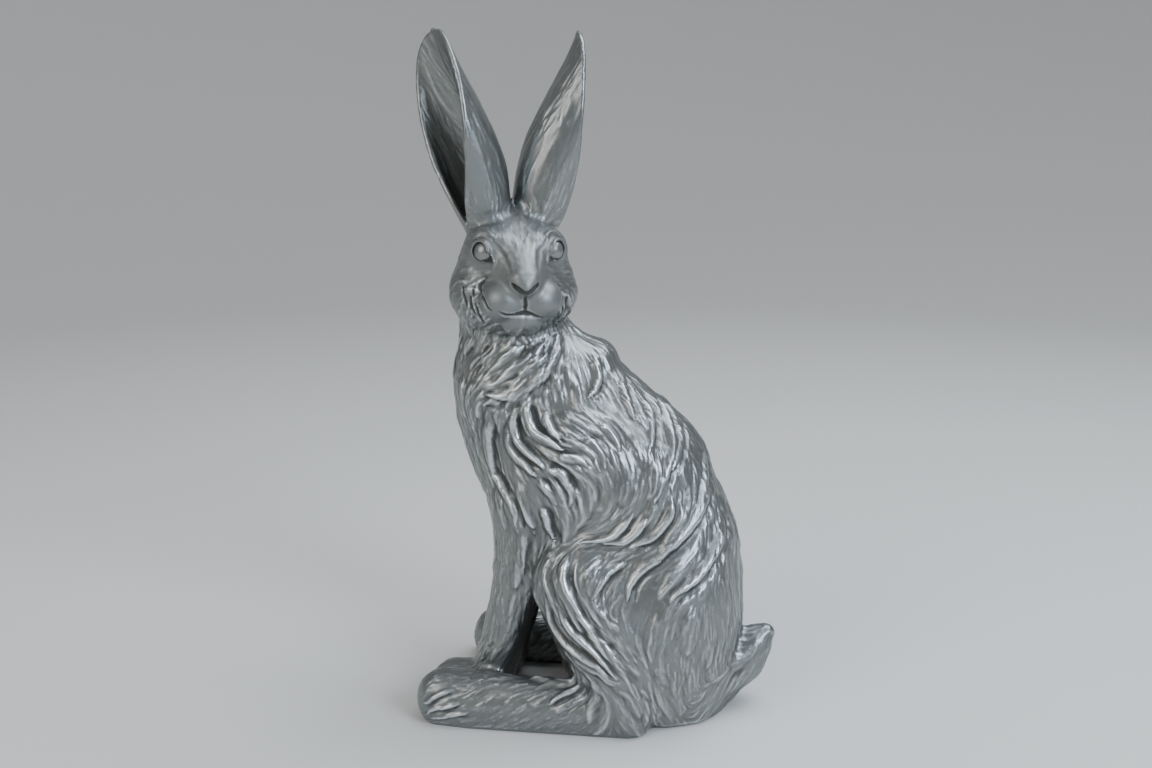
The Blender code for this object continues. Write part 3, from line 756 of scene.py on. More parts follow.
def surface_at(p):
    """The nearest place on the surface, and its normal, from the nearest point of the first net."""
    cell = np.clip(((p - grid_low) / CELL).astype(int), 0, cells_shape - 1)
    near = finder[tuple(cell.T)]
    normal = coarse_normals[near]
    return p - normal * ((p - coarse_points[near]) * normal).sum(1, keepdims=True), normal


def follow(starts, kinds, steps, step, turn, wave):
    """Samples (place, direction, normal) of strokes that start at the points and follow the coat;
    turn is a stroke's own angle off the comb, wave the size and phase of its own S-curve."""
    places, heads, ups = [], [], []
    p, normal = surface_at(starts)
    for number in range(steps):
        d = coat_direction(p, normal, kinds)
        angle = turn + wave[0] * np.sin(number * step * WAVE_RATE + wave[1])
        d = d * np.cos(angle)[:, None] + np.cross(normal, d) * np.sin(angle)[:, None]
        places.append(p)
        heads.append(d)
        ups.append(normal)
        p, normal = surface_at(p + d * step)
    return np.stack(places, 1), np.stack(heads, 1), np.stack(ups, 1)


# %% [markdown]
# ## Pressing strokes into the clay
#
# For each sample the points near it are found through a grid of cells.  In the sample's own frame a
# point has a place along the stroke and a place across it.  A lock is round across, thin at its root
# and pointed at its tip.  Where locks overlap the higher one wins, so that a sharp groove stays
# between them, as where one strand of clay has been laid over the next.

# %% Pairs and stroke profiles
PAIR_BATCH = 20000
ROOT_WIDTH = 0.45       # width at the root, as a share of the full width
ROOT_LENGTH = 0.3       # share of the length after which it is fully wide
RISE_LENGTH = 0.25      # share of the length after which it is fully high
TIP_LOSES = 0.15        # height lost towards the tip
TIP_END = 1.03          # a little over 1, so that the tip isn't quite a point
LEAST_WIDTH = 0.25
SAMPLE_REACH = 0.75     # how many steps a sample reaches each way, so that samples overlap
SAME_WAY = 0.2          # least cosine between a stroke's normal and a point's


def pairs_near(points, centres, radius):
    """Yields numbers of (point, centre) pairs closer than the radius, and the steps between."""
    origin = points.min(0) - 2 * radius
    size = ((points.max(0) - origin) / radius).astype(np.int64) + 4
    cell = ((points - origin) / radius).astype(np.int64)
    key = (cell[:, 0] * size[1] + cell[:, 1]) * size[2] + cell[:, 2]
    order = np.argsort(key, kind="stable")
    sorted_key = key[order]
    home = np.clip(((centres - origin) / radius).astype(np.int64), 1, size - 2)
    for start in range(0, len(centres), PAIR_BATCH):
        some = np.arange(start, min(start + PAIR_BATCH, len(centres)))
        for dx in (-1, 0, 1):
            for dy in (-1, 0, 1):
                k = ((home[some, 0] + dx) * size[1] + home[some, 1] + dy) * size[2] + home[some, 2]
                first = np.searchsorted(sorted_key, k - 1, "left")
                found = np.searchsorted(sorted_key, k + 1, "right") - first
                total = int(found.sum())
                if not total:
                    continue
                centre = np.repeat(some, found)
                inner = np.arange(total) - np.repeat(np.cumsum(found) - found, found)
                point = order[np.repeat(first, found) + inner]
                gap = points[point] - centres[centre]
                close = (gap ** 2).sum(1) < radius * radius
                yield point[close], centre[close], gap[close]


def press(places, heads, ups, valid, half_width, height, lift, step, thickness=1.8, skew=0.0):
    """Height that the strokes give each point: over all strokes the largest of lift plus height
    times (1 - v * v) * (1 + skew * v), with v the place across over the half width.  Along the
    stroke the width grows from its root and closes in a point, and the height rises and then sinks
    a little.  Points further than the thickness above or below a stroke aren't touched by it."""
    count = places.shape[1]
    number = np.arange(count)
    share = number[None] / np.maximum(valid.sum(1, keepdims=True) - 1, 1)
    keep = valid.ravel()
    centres = places.reshape(-1, 3)[keep].astype(np.float32)
    along = heads.reshape(-1, 3)[keep].astype(np.float32)
    up = ups.reshape(-1, 3)[keep].astype(np.float32)
    share = share.ravel()[keep].astype(np.float32)
    side = np.cross(up, along)
    wide = np.repeat(half_width, count)[keep]
    tall = np.repeat(height, count)[keep]
    base = np.repeat(lift, count)[keep]
    shape_w = ROOT_WIDTH + (1 - ROOT_WIDTH) * np.minimum(share / ROOT_LENGTH, 1)
    shape_w *= np.sqrt(np.clip(TIP_END - share ** 3, 0, 1))
    shape_h = np.minimum(share / RISE_LENGTH, 1) * (1 - TIP_LOSES * share)
    wide_here = np.maximum(wide * shape_w, LEAST_WIDTH)
    reach = float(np.hypot(wide.max(), step))
    out = np.zeros(len(points), np.float32)
    for point, centre, gap in pairs_near(points32, centres, reach):
        u = (gap * along[centre]).sum(1)
        v = (gap * side[centre]).sum(1) / wide_here[centre]
        off = (gap * up[centre]).sum(1)
        hit = (np.abs(u) < step * SAMPLE_REACH) & (np.abs(v) < 1) & (np.abs(off) < thickness)
        hit &= (normals32[point] * up[centre]).sum(1) > SAME_WAY
        value = shape_h[centre] * (base[centre] + tall[centre] * (1 - v * v) * (1 + skew * v))
        np.maximum.at(out, point[hit], value[hit])
    return out


points32 = points.astype(np.float32)
normals32 = normals.astype(np.float32)
corners = points[quads]
doubled = np.cross(corners[:, 2] - corners[:, 0], corners[:, 3] - corners[:, 1])
surface = 0.5 * np.linalg.norm(doubled, axis=1).sum()
area_per_point = surface / len(coarse_points)
print("surface", round(surface / 100), "square centimetres")


# %% Layers of strokes
STROKE_FILL = 1.4       # area that a stroke covers, over its length times its half width
FULL_TURN = 6.28


def strokes(start, length, half_width, height, lift, step, sway, spread):
    """Presses one stroke from each start, with its own slight turn and S-curve."""
    turn = rng.normal(0, spread, len(start))
    wave = rng.normal(0, sway, len(start)), rng.uniform(0, FULL_TURN, len(start))
    steps = int(length.max() / step) + 1
    places, heads, ups = follow(coarse_points[start], kind[start], steps, step, turn, wave)
    valid = np.arange(steps)[None] * step < length[:, None]
    print("pressed", len(start), "strokes")
    return press(places, heads, ups, valid, half_width, height, lift, step)


def layer(which, cover, step, sway, spread):
    """Strokes of one layer, as many as cover the surface so many times over."""
    table = np.array([COATS[name][which] for name in coat_names])
    coats = table[coat]
    share = cover * area_per_point / (STROKE_FILL * coats[:, 0] * coats[:, 1])
    start = np.nonzero(rng.random(len(share)) < share)[0]
    length, half_width, height = coats[start].T
    height = height * rng.uniform(0.6, 1.2, len(start))
    lift = height * rng.uniform(0.0, 0.7, len(start))
    return strokes(start, length * rng.uniform(0.6, 1.15, len(start)),
                   half_width * rng.uniform(0.7, 1.25, len(start)), height, lift, step, sway, spread)


def slits(where, count, length, half_width, depth):
    """Short single cuts of the modelling knife, scattered where they are allowed."""
    start = rng.choice(np.nonzero(where)[0], count)
    one = np.ones(count)
    return strokes(start, length * rng.uniform(0.5, 1.2, count), half_width * one,
                   depth * rng.uniform(0.5, 1.1, count), 0 * one, step=0.8, sway=0.1, spread=0.25)


def smoothed(values, rounds):
    """Values after some rounds of taking the mean with all neighbours."""
    for _ in range(rounds):
        values = 0.5 * values + 0.5 * neighbour_mean(values, ends)
    return values


def patches(low_value, size, waves=7):
    """A slow pattern over the surface between the low value and 1, from plane waves of a size."""
    directions = rng.normal(0, 1, (waves, 3))
    directions /= np.linalg.norm(directions, axis=1, keepdims=True)
    lengths = size * rng.uniform(0.7, 1.4, waves)
    phase = rng.uniform(0, 2 * math.pi, waves)
    total = np.sin(points @ (directions / lengths[:, None]).T * 2 * math.pi + phase).sum(1)
    return low_value + (1 - low_value) * np.clip(0.5 + total / math.sqrt(2 * waves), 0, 1)


# %% Swells, strands and fine combing
swell = smoothed(layer(0, cover=1.5, step=1.6, sway=0.3, spread=0.12), 10)
strands = smoothed(layer(1, cover=1.5, step=1.1, sway=0.16, spread=0.10), 1) * patches(0.3, size=34)
fine = layer(2, cover=1.4, step=0.8, sway=0.1, spread=0.10) * patches(0.35, size=22)
print("swells of", round(float(swell.max()), 2), "mm, strands", round(float(strands.max()), 2),
      "mm, combing", round(float(fine.max()), 2), "mm")

# %% Cuts of the knife under the jaw and on the side of the face
JAW_FROM, JAW_TO = 199, 222
JAW_BACK = -12
CHEEK_FROM = 17
CHEEK_BELOW = 4
under_jaw = (coarse_points[:, 2] > JAW_FROM) & (coarse_points[:, 2] < JAW_TO) & (kind == ON_BODY)
under_jaw &= coarse_points[:, 0] < JAW_BACK
knife = slits(under_jaw, count=34, length=8.0, half_width=0.6, depth=1.0)
side_face = (kind == ON_HEAD) & (np.abs(head_points[:, 0]) > CHEEK_FROM)
side_face &= head_points[:, 2] < CHEEK_BELOW
knife = np.maximum(knife, slits(side_face, count=50, length=6.0, half_width=0.6, depth=0.8))
print("the knife touched", int((knife > 0).sum()), "points")


# %% Lines on the surface
DRAWN_REACH = 4.0       # how far above or below a drawn stroke a point may lie


def side_curve(line, step=1.2):
    """A smooth curve through a lock's points (cubic between each two, slopes from neighbours)."""
    line = np.array(line, float)
    before = np.vstack([2 * line[0] - line[1], line[:-1]])
    after = np.vstack([line[1:], 2 * line[-1] - line[-2]])
    slopes = (after - before) / 2
    out = []
    for k in range(len(line) - 1):
        n = max(int(np.linalg.norm(line[k + 1] - line[k]) / step), 2)
        t = np.linspace(0, 1, n, endpoint=False)[:, None]
        out.append((2 * t ** 3 - 3 * t ** 2 + 1) * line[k] + (t ** 3 - 2 * t ** 2 + t) * slopes[k]
                   + (3 * t ** 2 - 2 * t ** 3) * line[k + 1] + (t ** 3 - t ** 2) * slopes[k + 1])
    return np.vstack(out + [line[-1:]])


def on_surface_smoothly(places):
    """A line of places on the surface, evened out and set back on the surface a few times."""
    for _ in range(4):
        places[1:-1] = (places[:-2] + places[1:-1] * 2 + places[2:]) / 4
        places, ups = surface_at(places)
    for _ in range(3):
        ups[1:-1] = (ups[:-2] + ups[1:-1] * 2 + ups[2:]) / 4
    return places, ups / np.linalg.norm(ups, axis=1, keepdims=True)


def outermost(curve, seen, depth, reach, extra):
    """For each point of a flat curve, the number of the surface point with the largest depth among
    those seen within a reach of it (a squared distance), or a little past the nearest one."""
    found = []
    for place in curve:
        gap = ((seen - place) ** 2).sum(1)
        near = np.nonzero(gap < max(reach, gap.min() + extra))[0]
        found.append(near[depth[near].argmax()])
    return found


def drawn_stroke(places, half_width, height):
    """A stroke along a line of places: its places, directions and normals on the surface, and its
    half width and height."""
    place, up = on_surface_smoothly(places)
    head = np.gradient(place, axis=0)
    head -= up * (head * up).sum(1, keepdims=True)
    head /= np.maximum(np.linalg.norm(head, axis=1, keepdims=True), TINY)
    return place, head, up, half_width, height


def press_drawn(drawn, aside=0.0, wider=1.0, share=1.0, lift=0.0, step=1.6, skew=0.0):
    """Presses drawn strokes: moved aside by a share of their half width, and with their half width
    and height multiplied.  Shorter ones are filled up with copies of their last place, which don't
    count."""
    longest = max(len(item[0]) for item in drawn)
    place, head, up = (np.stack([np.vstack([item[k], np.repeat(item[k][-1:], longest - len(item[k]), 0)])
                                 for item in drawn]) for k in range(3))
    wide = np.array([item[3] for item in drawn])
    high = np.array([item[4] for item in drawn])
    valid = np.arange(longest)[None] < np.array([len(item[0]) for item in drawn])[:, None]
    if aside:
        place = place + np.cross(up, head) * (wide * aside)[:, None, None]
    lifts = np.full(len(drawn), lift)
    return press(place, head, up, valid, wide * wider, high * share, lifts, step, DRAWN_REACH, skew)


# %% The drawn locks
side_seen = coarse_points[:, [0, 2]]
drawn = []
for half_width, high, *line in LOCKS:
    for side in (-1, 1):
        depth = coarse_points[:, 1] * side
        found = outermost(side_curve(line), side_seen, depth, reach=4.0, extra=2.0)
        drawn.append(drawn_stroke(coarse_points[found], half_width, high))
locks = smoothed(press_drawn(drawn, lift=0.4, skew=0.55), 1)
furrows = smoothed(press_drawn(drawn, aside=1.25, wider=0.75, share=0.5), 3)
print("drawn locks raise the surface by up to", round(float(locks.max()), 2), "mm")

# %% [markdown]
# ## The face's own cuts
#
# The muzzle, the lids and the nose leather are smooth, so the coat fades out there.  The mouth, the
# cleft under the nose, and a few short slits on cheeks and brow are single cuts, given as lines seen
# from the front and thrown on the face.  A cut is a stroke whose height is taken away.

# %% Where the coat fades
def smooth_step(value, start, end):
    """0 before the start, 1 after the end, and an S-curve between."""
    t = np.clip((value - start) / (end - start), 0, 1)
    return t * t * (3 - 2 * t)


MUZZLE_AT = np.array([6, -38, -7])
MUZZLE_REACH = np.array([1.0, 0.9, 1.0])
FOREHEAD_HAIR = 0.45    # how much flatter the hair lies on the forehead
LOCK_RISE = 1.1
FLOOR_BAND = (0.2, 3.0)
EYE_BAND = (8.5, 13)
MUZZLE_BAND = (13, 24)
BROW_BAND = (0, 10)
CROWN_BAND = (33, 38)
FOREHEAD_TO = 10
face = to_head(points)
face_half = face.copy()
face_half[:, 0] = np.abs(face_half[:, 0])
from_eye = np.linalg.norm(face_half - EYE_AT, axis=1)
from_muzzle = np.linalg.norm((face_half - MUZZLE_AT) / MUZZLE_REACH, axis=1)
hair = smooth_step(from_eye, *EYE_BAND) * smooth_step(from_muzzle, *MUZZLE_BAND)
forehead = smooth_step(face[:, 2], *BROW_BAND) * (1 - smooth_step(face[:, 2], *CROWN_BAND))
forehead *= face[:, 1] < FOREHEAD_TO
hair *= 1 - FOREHEAD_HAIR * forehead
off_floor = smooth_step(points[:, 2], *FLOOR_BAND)
on_lock = smooth_step(locks, 0.0, 1.0)
height = np.maximum(swell, locks * LOCK_RISE) - furrows * (1 - on_lock)
height = (height + strands * (1 - 0.5 * on_lock) + fine) * hair * off_floor
print("the coat stands up to", round(float(height.max()), 2), "mm,",
      int((hair < 0.5).sum()), "of", len(hair), "points lie mostly bare")

# %% Cuts on the face: half width, depth, then x and z seen from the front, in the head's frame
CUTS = [
    (0.65, 1.4, (-15, -14.5), (-10.5, -17), (-5, -17.2), (0, -15.4), (3.5, -17), (6.5, -18.6), (9, -19.4)),
    (0.5, 1.2, (0.1, -6.5), (0.0, -10), (0.0, -15.4)),
    (0.9, 1.2, (-18.5, 2.5), (-21.5, -1), (-22.5, -5), (-21.5, -10), (-19, -14)),
    (0.8, 0.9, (18, 1), (21, -3), (22.5, -8), (21.5, -13)),
    (0.7, 1.2, (-27, -8), (-26.5, -13), (-23.5, -19)), (0.7, 1.1, (-24, -12), (-22.5, -18), (-18.5, -24)),
    (0.7, 1.0, (-30, -2), (-30, -9), (-28, -15)), (0.6, 0.9, (-25, -4), (-25.5, -8)),
    (0.7, 1.1, (26, -9), (27, -14), (26, -20)), (0.7, 1.0, (23.5, -14), (24, -19), (22, -24)),
    (1.2, 0.35, (-8.5, 5.5), (-8.6, 11), (-11, 18), (-15, 22.5)),
    (1.2, 0.35, (8.5, 5.5), (8.6, 11), (11, 18), (15, 22.5))]
FACE_TO = 6
front_ids = np.nonzero(to_head(coarse_points)[:, 1] < FACE_TO)[0]
front = to_head(coarse_points[front_ids])
drawn = []
for half_width, depth, *line in CUTS:
    found = outermost(side_curve(line, step=0.7), front[:, [0, 2]], -front[:, 1], reach=1.5, extra=0.5)
    drawn.append(drawn_stroke(coarse_points[front_ids[found]], half_width, depth))
cuts = smoothed(np.maximum(press_drawn(drawn, wider=1.5, step=0.9), knife * hair), 2)
height -= cuts
print("the face has", len(CUTS), "single cuts, up to", round(float(cuts.max()), 2), "mm deep")

# %% [markdown]
# ## Bright ridges, dark grooves and painted shade
#
# The paint follows the relief, so three numbers are kept for each point: relief, how far it stands
# above the mean round it, crease, how deep it lies in the wider hollows of the body, where the
# shader paints shade, and bare, how little hair there is.  The first two come from smoothing over the
# net's edges and comparing.  Painted shade is also taken off the relief in the nostrils, in the crease
# over the lid and round the eyeball, where shadow falls.

# %% The finished skin, its relief, crease and bareness, and the painted shade
SKIN_SINKS = 0.5        # the coat stands up from a skin that is set in by this much
FACE_REACH = 60
RELIEF_ROUNDS, RELIEF_FULL = 16, 0.45
CREASE_ROUNDS, CREASE_FULL = 60, 2.2
CUT_FULL = 0.8
PAINTED_SHADE_DEPTH = 1.5
CREASE_CLEANER = 0.3
CARVING_EDGE = (-0.3, 0.5)
EYEBALL_EDGE = (0.3, 1.1)
BARE_GAIN = 1.6
skin = points + normals * (height - SKIN_SINKS * off_floor)[:, None]
skin[:, 2] = np.maximum(skin[:, 2], 0)
skin_normals = point_normals(skin, quads)
near_face = np.nonzero(np.abs(points - HEAD_AT).max(1) < FACE_REACH)[0]
here = face_half[near_face]
# Painted shade: a dark mark in the nostrils, the crease over the lid and round the eyeball, where shadow
# falls
to_carving = np.minimum(row(here, NOSTRIL), row(here, LID_CREASE) + CREASE_CLEANER)
to_eyeball = np.minimum(from_eye[near_face] - EYE_RADIUS, row(here, TEAR_NOTCH))
out_of_shade = np.minimum(smooth_step(to_carving, *CARVING_EDGE), smooth_step(to_eyeball, *EYEBALL_EDGE))
painted_shade = np.zeros(len(points))
painted_shade[near_face] = 1 - out_of_shade
above = (height - smoothed(height, RELIEF_ROUNDS)) / RELIEF_FULL
relief = np.clip(above - cuts / CUT_FULL - PAINTED_SHADE_DEPTH * painted_shade, -1, 1)
# Crease: how deep a point lies in the wider hollows; the shader paints shade there
below = ((smoothed(points, CREASE_ROUNDS) - points) * normals).sum(1)
crease = np.clip(below / CREASE_FULL, -1, 1)
bare = np.clip((1 - hair) * BARE_GAIN, 0, 1)
print("relief", relief.std().round(3), "crease", crease.std().round(3), "bare", bare.mean().round(3))


# %% [markdown]
# ## Paint
#
# Pewter paint is metal flakes in a clear binder: mostly metallic, not very glossy, grey with a
# warm tone where it lies thick in the grooves and almost silver where the brush wiped it off the
# ridges.  The shader mixes these by relief and breaks them up with soft noise.  The same dark colour
# is laid into the wider hollows by the crease as painted shade.  Where the skin is bare the paint is
# a little duller.  A material keeps its nodes in a tree.  Two small classes make it easy to write
# down: one adds nodes to the tree, and one stands for a node's output, so that shader maths reads
# like plain arithmetic.

# %% Shader arithmetic
class Paint:
    """A material with a Principled shader, to which nodes are added."""

    def __init__(self, name):
        self.material = bpy.data.materials.new(name)
        self.material.use_nodes = True
        self.tree = self.material.node_tree
        self.shader = self.tree.nodes["Principled BSDF"]

    def fill(self, entries, values):
        """Links each entry to its socket, or sets a plain value on it."""
        for key, value in values.items():
            if isinstance(value, Socket):
                self.tree.links.new(value.socket, entries[key])
            else:
                entries[key].default_value = value

    def node(self, kind, settings, values, output=0):
        """Adds a node: its settings first, then the values or links of its sockets; returns an output."""
        made = self.tree.nodes.new(kind)
        for name, value in settings.items():
            setattr(made, name, value)
        self.fill(made.inputs, values)
        return Socket(self, made.outputs[output])

    def mix(self, share, one, two, blend="MIX"):
        """Colour one where the share is 0; colour two, or the blend of both, where it is 1."""
        settings = {"data_type": "RGBA", "blend_type": blend}
        return self.node("ShaderNodeMix", settings, {0: share, 6: one, 7: two}, 2)

    def feed(self, **values):
        """Feeds the shader's sockets, whose names are written with _ for a space."""
        self.fill(self.shader.inputs, {name.replace("_", " "): value for name, value in values.items()})


class Socket:
    """A node's output, on which plain arithmetic adds Math nodes."""

    def __init__(self, paint, socket):
        self.paint = paint
        self.socket = socket

    def math(self, operation, one, two):
        return self.paint.node("ShaderNodeMath", {"operation": operation}, {0: one, 1: two})

    def __add__(self, other):
        return self.math("ADD", self, other)

    def __radd__(self, other):
        return self.math("ADD", other, self)

    def __sub__(self, other):
        return self.math("SUBTRACT", self, other)

    def __rsub__(self, other):
        return self.math("SUBTRACT", other, self)

    def __mul__(self, other):
        return self.math("MULTIPLY", self, other)

    def __rmul__(self, other):
        return self.math("MULTIPLY", other, self)

    def at_least(self, value):
        return self.math("MAXIMUM", self, value)

    def clamped(self):
        return self.math("MINIMUM", self.at_least(0.0), 1.0)


# %% Pewter paint on the coat
# Dark groove paint, also used as painted shade in the wider hollows, the nostrils and round the eyes
GROOVE_AND_SHADE = (0.04, 0.039, 0.035, 1)
PEWTER = (0.235, 0.242, 0.238, 1)
SILVER = (0.74, 0.77, 0.80, 1)
COOL = (0.91, 0.96, 1.0, 1)
WARM = (1.0, 0.98, 0.94, 1)
RIDGE_FROM, RIDGE_GAIN = 0.06, 1.3
GROOVE_FROM, GROOVE_GAIN = 0.08, 1.2
HOLLOW_SHADE_GAIN = 1.25
MOST = 0.85             # the most silver or groove colour that is mixed in
CLOUDS, SPECKS, GRAINS = 28.0, 420.0, 900.0     # noise scales: patches of about 36, 2.4 and 1.1 mm
pewter = Paint("pewter_paint")
place = pewter.node("ShaderNodeTexCoord", {}, {}, 3)


def kept(name):
    """A number kept at the skin's points."""
    return pewter.node("ShaderNodeAttribute", {"attribute_name": name}, {}, 2)


def noise(scale, detail):
    """Soft noise about 0.5 on the hare's own coordinates."""
    return pewter.node("ShaderNodeTexNoise", {}, {"Vector": place, "Scale": scale, "Detail": detail})


# The relief carries the real ridges and grooves and also the painted shade of the nostrils and eyes
ridge = kept("relief")
cloud = noise(CLOUDS, 3.0)
speck = noise(SPECKS, 2.0)
bright = ((ridge - RIDGE_FROM) * RIDGE_GAIN + (speck - 0.5) * 0.5 + (cloud - 0.5) * 0.6).clamped()
# Painted shade: the crease of the wider hollows darkens the paint, added to the real groove paint of the
# low relief
hollow = kept("crease").at_least(0.0) * HOLLOW_SHADE_GAIN
groove_and_shade = ((-GROOVE_FROM - ridge) * GROOVE_GAIN + hollow + (speck - 0.5) * 0.3).clamped()
colour = pewter.mix(bright * MOST, PEWTER, SILVER)
colour = pewter.mix(groove_and_shade * MOST, colour, GROOVE_AND_SHADE)
tint = pewter.mix(cloud, COOL, WARM)
grain = noise(GRAINS, 2.0)
bump = pewter.node("ShaderNodeBump", {}, {"Strength": 0.12, "Distance": 0.0003, "Height": grain})
pewter.feed(Base_Color=pewter.mix(1.0, colour, tint, "MULTIPLY"),
            Roughness=0.33 + groove_and_shade * 0.26 - bright * 0.04 + kept("bare") * 0.15 + (speck - 0.5) * 0.12,
            Metallic=0.90 - groove_and_shade * 0.35,
            Normal=bump)

eye_paint = Paint("eye_paint")
eye_paint.feed(Base_Color=(0.25, 0.255, 0.25, 1), Roughness=0.33, Metallic=0.85)
print("paints:", pewter.material.name, "and", eye_paint.material.name)

# %% [markdown]
# ## The skin in pieces
#
# One mesh of more than a million triangles is too heavy for the files that are made from it, so
# the skin is shared out.  The pieces share their border points exactly and take their normals from
# the whole skin, so that no seam shows between them.

# %% Sharing out the skin
x, y, z = points[quads].mean(1).T
PIECES = [  # name, where its faces lie, the nodes it replaces; a face goes to the first that takes it
    ("skin_ears", z > 291, ["ear_left", "ear_right"]),
    ("skin_head", z > 222, ["head"]),
    ("skin_neck", z > 172, ["neck"]),
    ("skin_feet", z < 15.5, ["hind_foot_left", "hind_foot_right"]),
    ("skin_rump", x > 58, ["tail"]),
    ("skin_back", z > 118, ["trunk"]),
    ("skin_forelegs", x < -20, ["foreleg_left", "foreleg_right", "forepaw_left", "forepaw_right"]),
    ("skin_left_side", y < 0, ["hind_leg_left"]),
    ("skin_right_side", y >= 0, ["hind_leg_right"])]


def add(name, data):
    """A new object in the scene, at the origin."""
    item = bpy.data.objects.new(name, data)
    bpy.context.scene.collection.objects.link(item)
    return item


def piece_mesh(name, verts, faces, paint, vert_normals):
    """A mesh from whole arrays, in metres and in the part's frame, smooth, with given normals."""
    mesh = bpy.data.meshes.new(name)
    mesh.vertices.add(len(verts))
    mesh.vertices.foreach_set("co", ((verts + SHIFT) * MM).astype(np.float32).ravel())
    mesh.loops.add(faces.size)
    mesh.loops.foreach_set("vertex_index", faces.astype(np.int32).ravel())
    mesh.polygons.add(len(faces))
    mesh.polygons.foreach_set("loop_start", (np.arange(len(faces)) * faces.shape[1]).astype(np.int32))
    mesh.update(calc_edges=True)
    mesh.polygons.foreach_set("use_smooth", np.ones(len(faces), bool))
    mesh.normals_split_custom_set_from_vertices(vert_normals.astype(np.float32))
    mesh.materials.append(paint.material)
    return add(name, mesh)


free = np.ones(len(quads), bool)
for name, where, nodes in PIECES:
    mine = quads[free & where]
    free &= ~where
    used, local = np.unique(mine, return_inverse=True)
    item = piece_mesh(name, skin[used], local.reshape(-1, 4), pewter, skin_normals[used])
    for label, values in (("relief", relief), ("crease", crease), ("bare", bare)):
        item.data.attributes.new(label, "FLOAT", "POINT").data.foreach_set(
            "value", values[used].astype(np.float32))
    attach(item, "root")
    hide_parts(*nodes)
    print(name, len(mine) * 2, "triangles")


# %% [markdown]
# ## Eyes
#
# Each eye is a plain ball, in the same metal paint but with no hair to wipe bright.  It could be a
# UV sphere.  Here it is half a circle turned about the upright axis and closed at both poles by short
# triangles, with the function that also turns the floor.

# %% A profile turned about the upright axis, as on a lathe
def turned(reach, rise, around):
    """Points of a ring for each step of the profile, and the faces between each ring and the next."""
    turn = np.linspace(0, 2 * math.pi, around + 1)[:-1]
    rings = np.stack([np.outer(reach, np.cos(turn)), np.outer(reach, np.sin(turn)),
                      np.outer(rise, np.ones(around))], -1)
    k = np.arange(around)
    after = (k + 1) % around
    face = np.stack([k, k + around, after + around, after], 1)
    faces = [face + r * around for r in range(len(reach) - 1)]
    return rings.reshape(-1, 3), np.concatenate(faces).tolist()


# %% Eyeballs
EYE_RINGS = 24
EYE_AROUND = 40


def ball(centre, radius):
    """A ball's points and faces: its profile is half a circle, and a fan closes each pole."""
    lift = np.linspace(0, math.pi, EYE_RINGS + 1)[1:-1]
    unit, faces = turned(np.sin(lift), np.cos(lift), EYE_AROUND)
    top, bottom = len(unit), len(unit) + 1
    last = len(unit) - EYE_AROUND
    unit = np.vstack([unit, [(0, 0, 1), (0, 0, -1)]])
    ring = [(k, (k + 1) % EYE_AROUND) for k in range(EYE_AROUND)]
    faces += [(top, k, after) for k, after in ring]
    faces += [(bottom, last + after, last + k) for k, after in ring]
    return centre + unit * radius, faces


for name, side in (("eye_left", 1), ("eye_right", -1)):
    verts, faces = ball(from_head(EYE_AT * np.array([side, 1, 1])), EYE_RADIUS)
    mesh = bpy.data.meshes.new("eyeball_" + name)
    mesh.from_pydata(((verts + SHIFT) * MM).tolist(), [], faces)
    mesh.shade_smooth()
    mesh.materials.append(eye_paint.material)
    item = add("eyeball_" + name, mesh)
    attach(item, "root")
    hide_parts(name)
print("eyeballs of", EYE_RADIUS * 2, "mm across")

# %% [markdown]
# ## Floor, light and camera
#
# A plain pale floor, three large soft lamps, and an even grey surround: metal paint shows what it
# mirrors, so the lamps are as broad as windows.  The camera stands a little lower than the ear tips,
# about 0.7 m off the hare's left side, and looks slightly down.

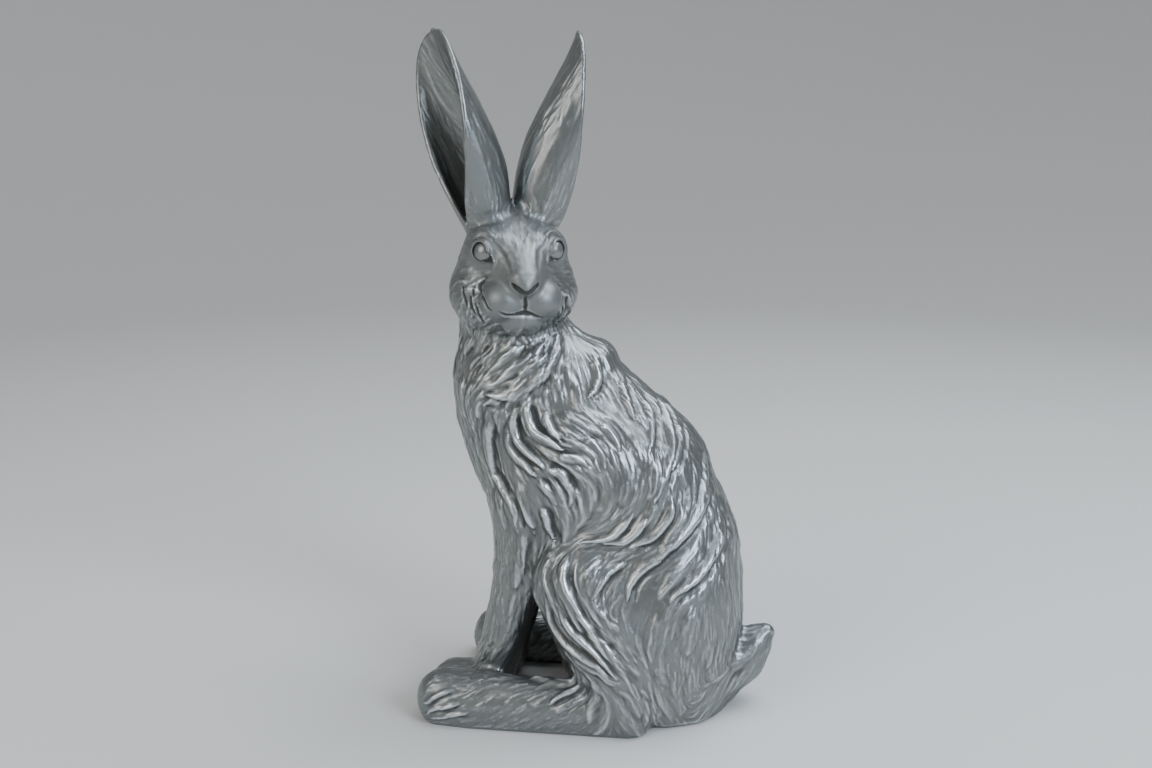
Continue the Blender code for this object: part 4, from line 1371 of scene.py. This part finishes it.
# %% Floor: flat for a metre and a half, then swept up all round like a studio cove
FLOOR_FLAT = 1.5
COVE_RADIUS = 1.5
COVE_HEIGHT = 2.6
COVE_AROUND = 96
sweep = np.linspace(0, math.pi / 2, 25)
swept = FLOOR_FLAT + COVE_RADIUS * np.sin(sweep)
reach = np.concatenate([[0.002, 0.4, 0.8], swept, swept[-1:]])
rise = np.concatenate([[0, 0, 0], COVE_RADIUS * (1 - np.cos(sweep)), [COVE_HEIGHT]])
cove_points, cove_faces = turned(reach, rise, COVE_AROUND)
cove = bpy.data.meshes.new("floor")
cove.from_pydata(cove_points.tolist(), [], cove_faces + [list(range(COVE_AROUND))])
cove.shade_smooth()
floor_paint = Paint("floor_paint")
floor_paint.feed(Base_Color=(0.66, 0.65, 0.63, 1), Roughness=0.8)
cove.materials.append(floor_paint.material)
floor = add("floor", cove)
print("the floor reaches", reach.max(), "m out and", rise.max(), "m up")


# %% Lamps
def lamp(name, place, target, size, power, colour):
    """A square area lamp at a place, turned to its target."""
    light = bpy.data.lights.new(name, "AREA")
    light.size = size
    light.energy = power
    light.color = colour
    item = add(name, light)
    item.location = place
    way = np.array(target, float) - np.array(place, float)
    pitch = math.atan2(math.hypot(way[0], way[1]), -way[2])
    item.rotation_euler = (pitch, 0, math.atan2(-way[0], way[1]))
    print(name, "lamp:", size, "m wide,", power, "W,", round(float(np.linalg.norm(way)), 2), "m off")


SURROUND = 0.52         # how bright the grey around everything is
lamp("sky", (0.5, 0.2, 1.4), (0, 0, 0.15), 1.1, 19, (0.82, 0.91, 1.0))
lamp("window", (1.1, -0.95, 0.9), (0, 0, 0.2), 0.7, 19, (0.72, 0.85, 1.0))
lamp("fill", (-1.0, -1.2, 0.9), (0, 0, 0.15), 1.1, 11, (1.0, 0.98, 0.95))
world = bpy.context.scene.world or bpy.data.worlds.new("surround")
bpy.context.scene.world = world
world.use_nodes = True
background = world.node_tree.nodes["Background"]
background.inputs[0].default_value = (0.80, 0.82, 0.85, 1)
background.inputs[1].default_value = SURROUND

# %% Camera
CAMERA_DISTANCE = 0.690
CAMERA_HEIGHT = 0.340
CAMERA_TURN = math.radians(8)
CAMERA_PITCH = math.radians(12.5)
CAMERA_LENS = 39.06
camera = bpy.data.cameras.new("camera")
camera.lens = CAMERA_LENS
camera.sensor_width = 36
camera.clip_start = 0.01
eye = add("camera", camera)
eye.location = (CAMERA_DISTANCE * math.sin(CAMERA_TURN) + SHIFT[0] * MM,
                -CAMERA_DISTANCE * math.cos(CAMERA_TURN) + SHIFT[1] * MM, CAMERA_HEIGHT)
eye.rotation_euler = (math.radians(90) - CAMERA_PITCH, 0, CAMERA_TURN)
bpy.context.scene.camera = eye
print("the camera stands at", [round(value, 3) for value in eye.location])
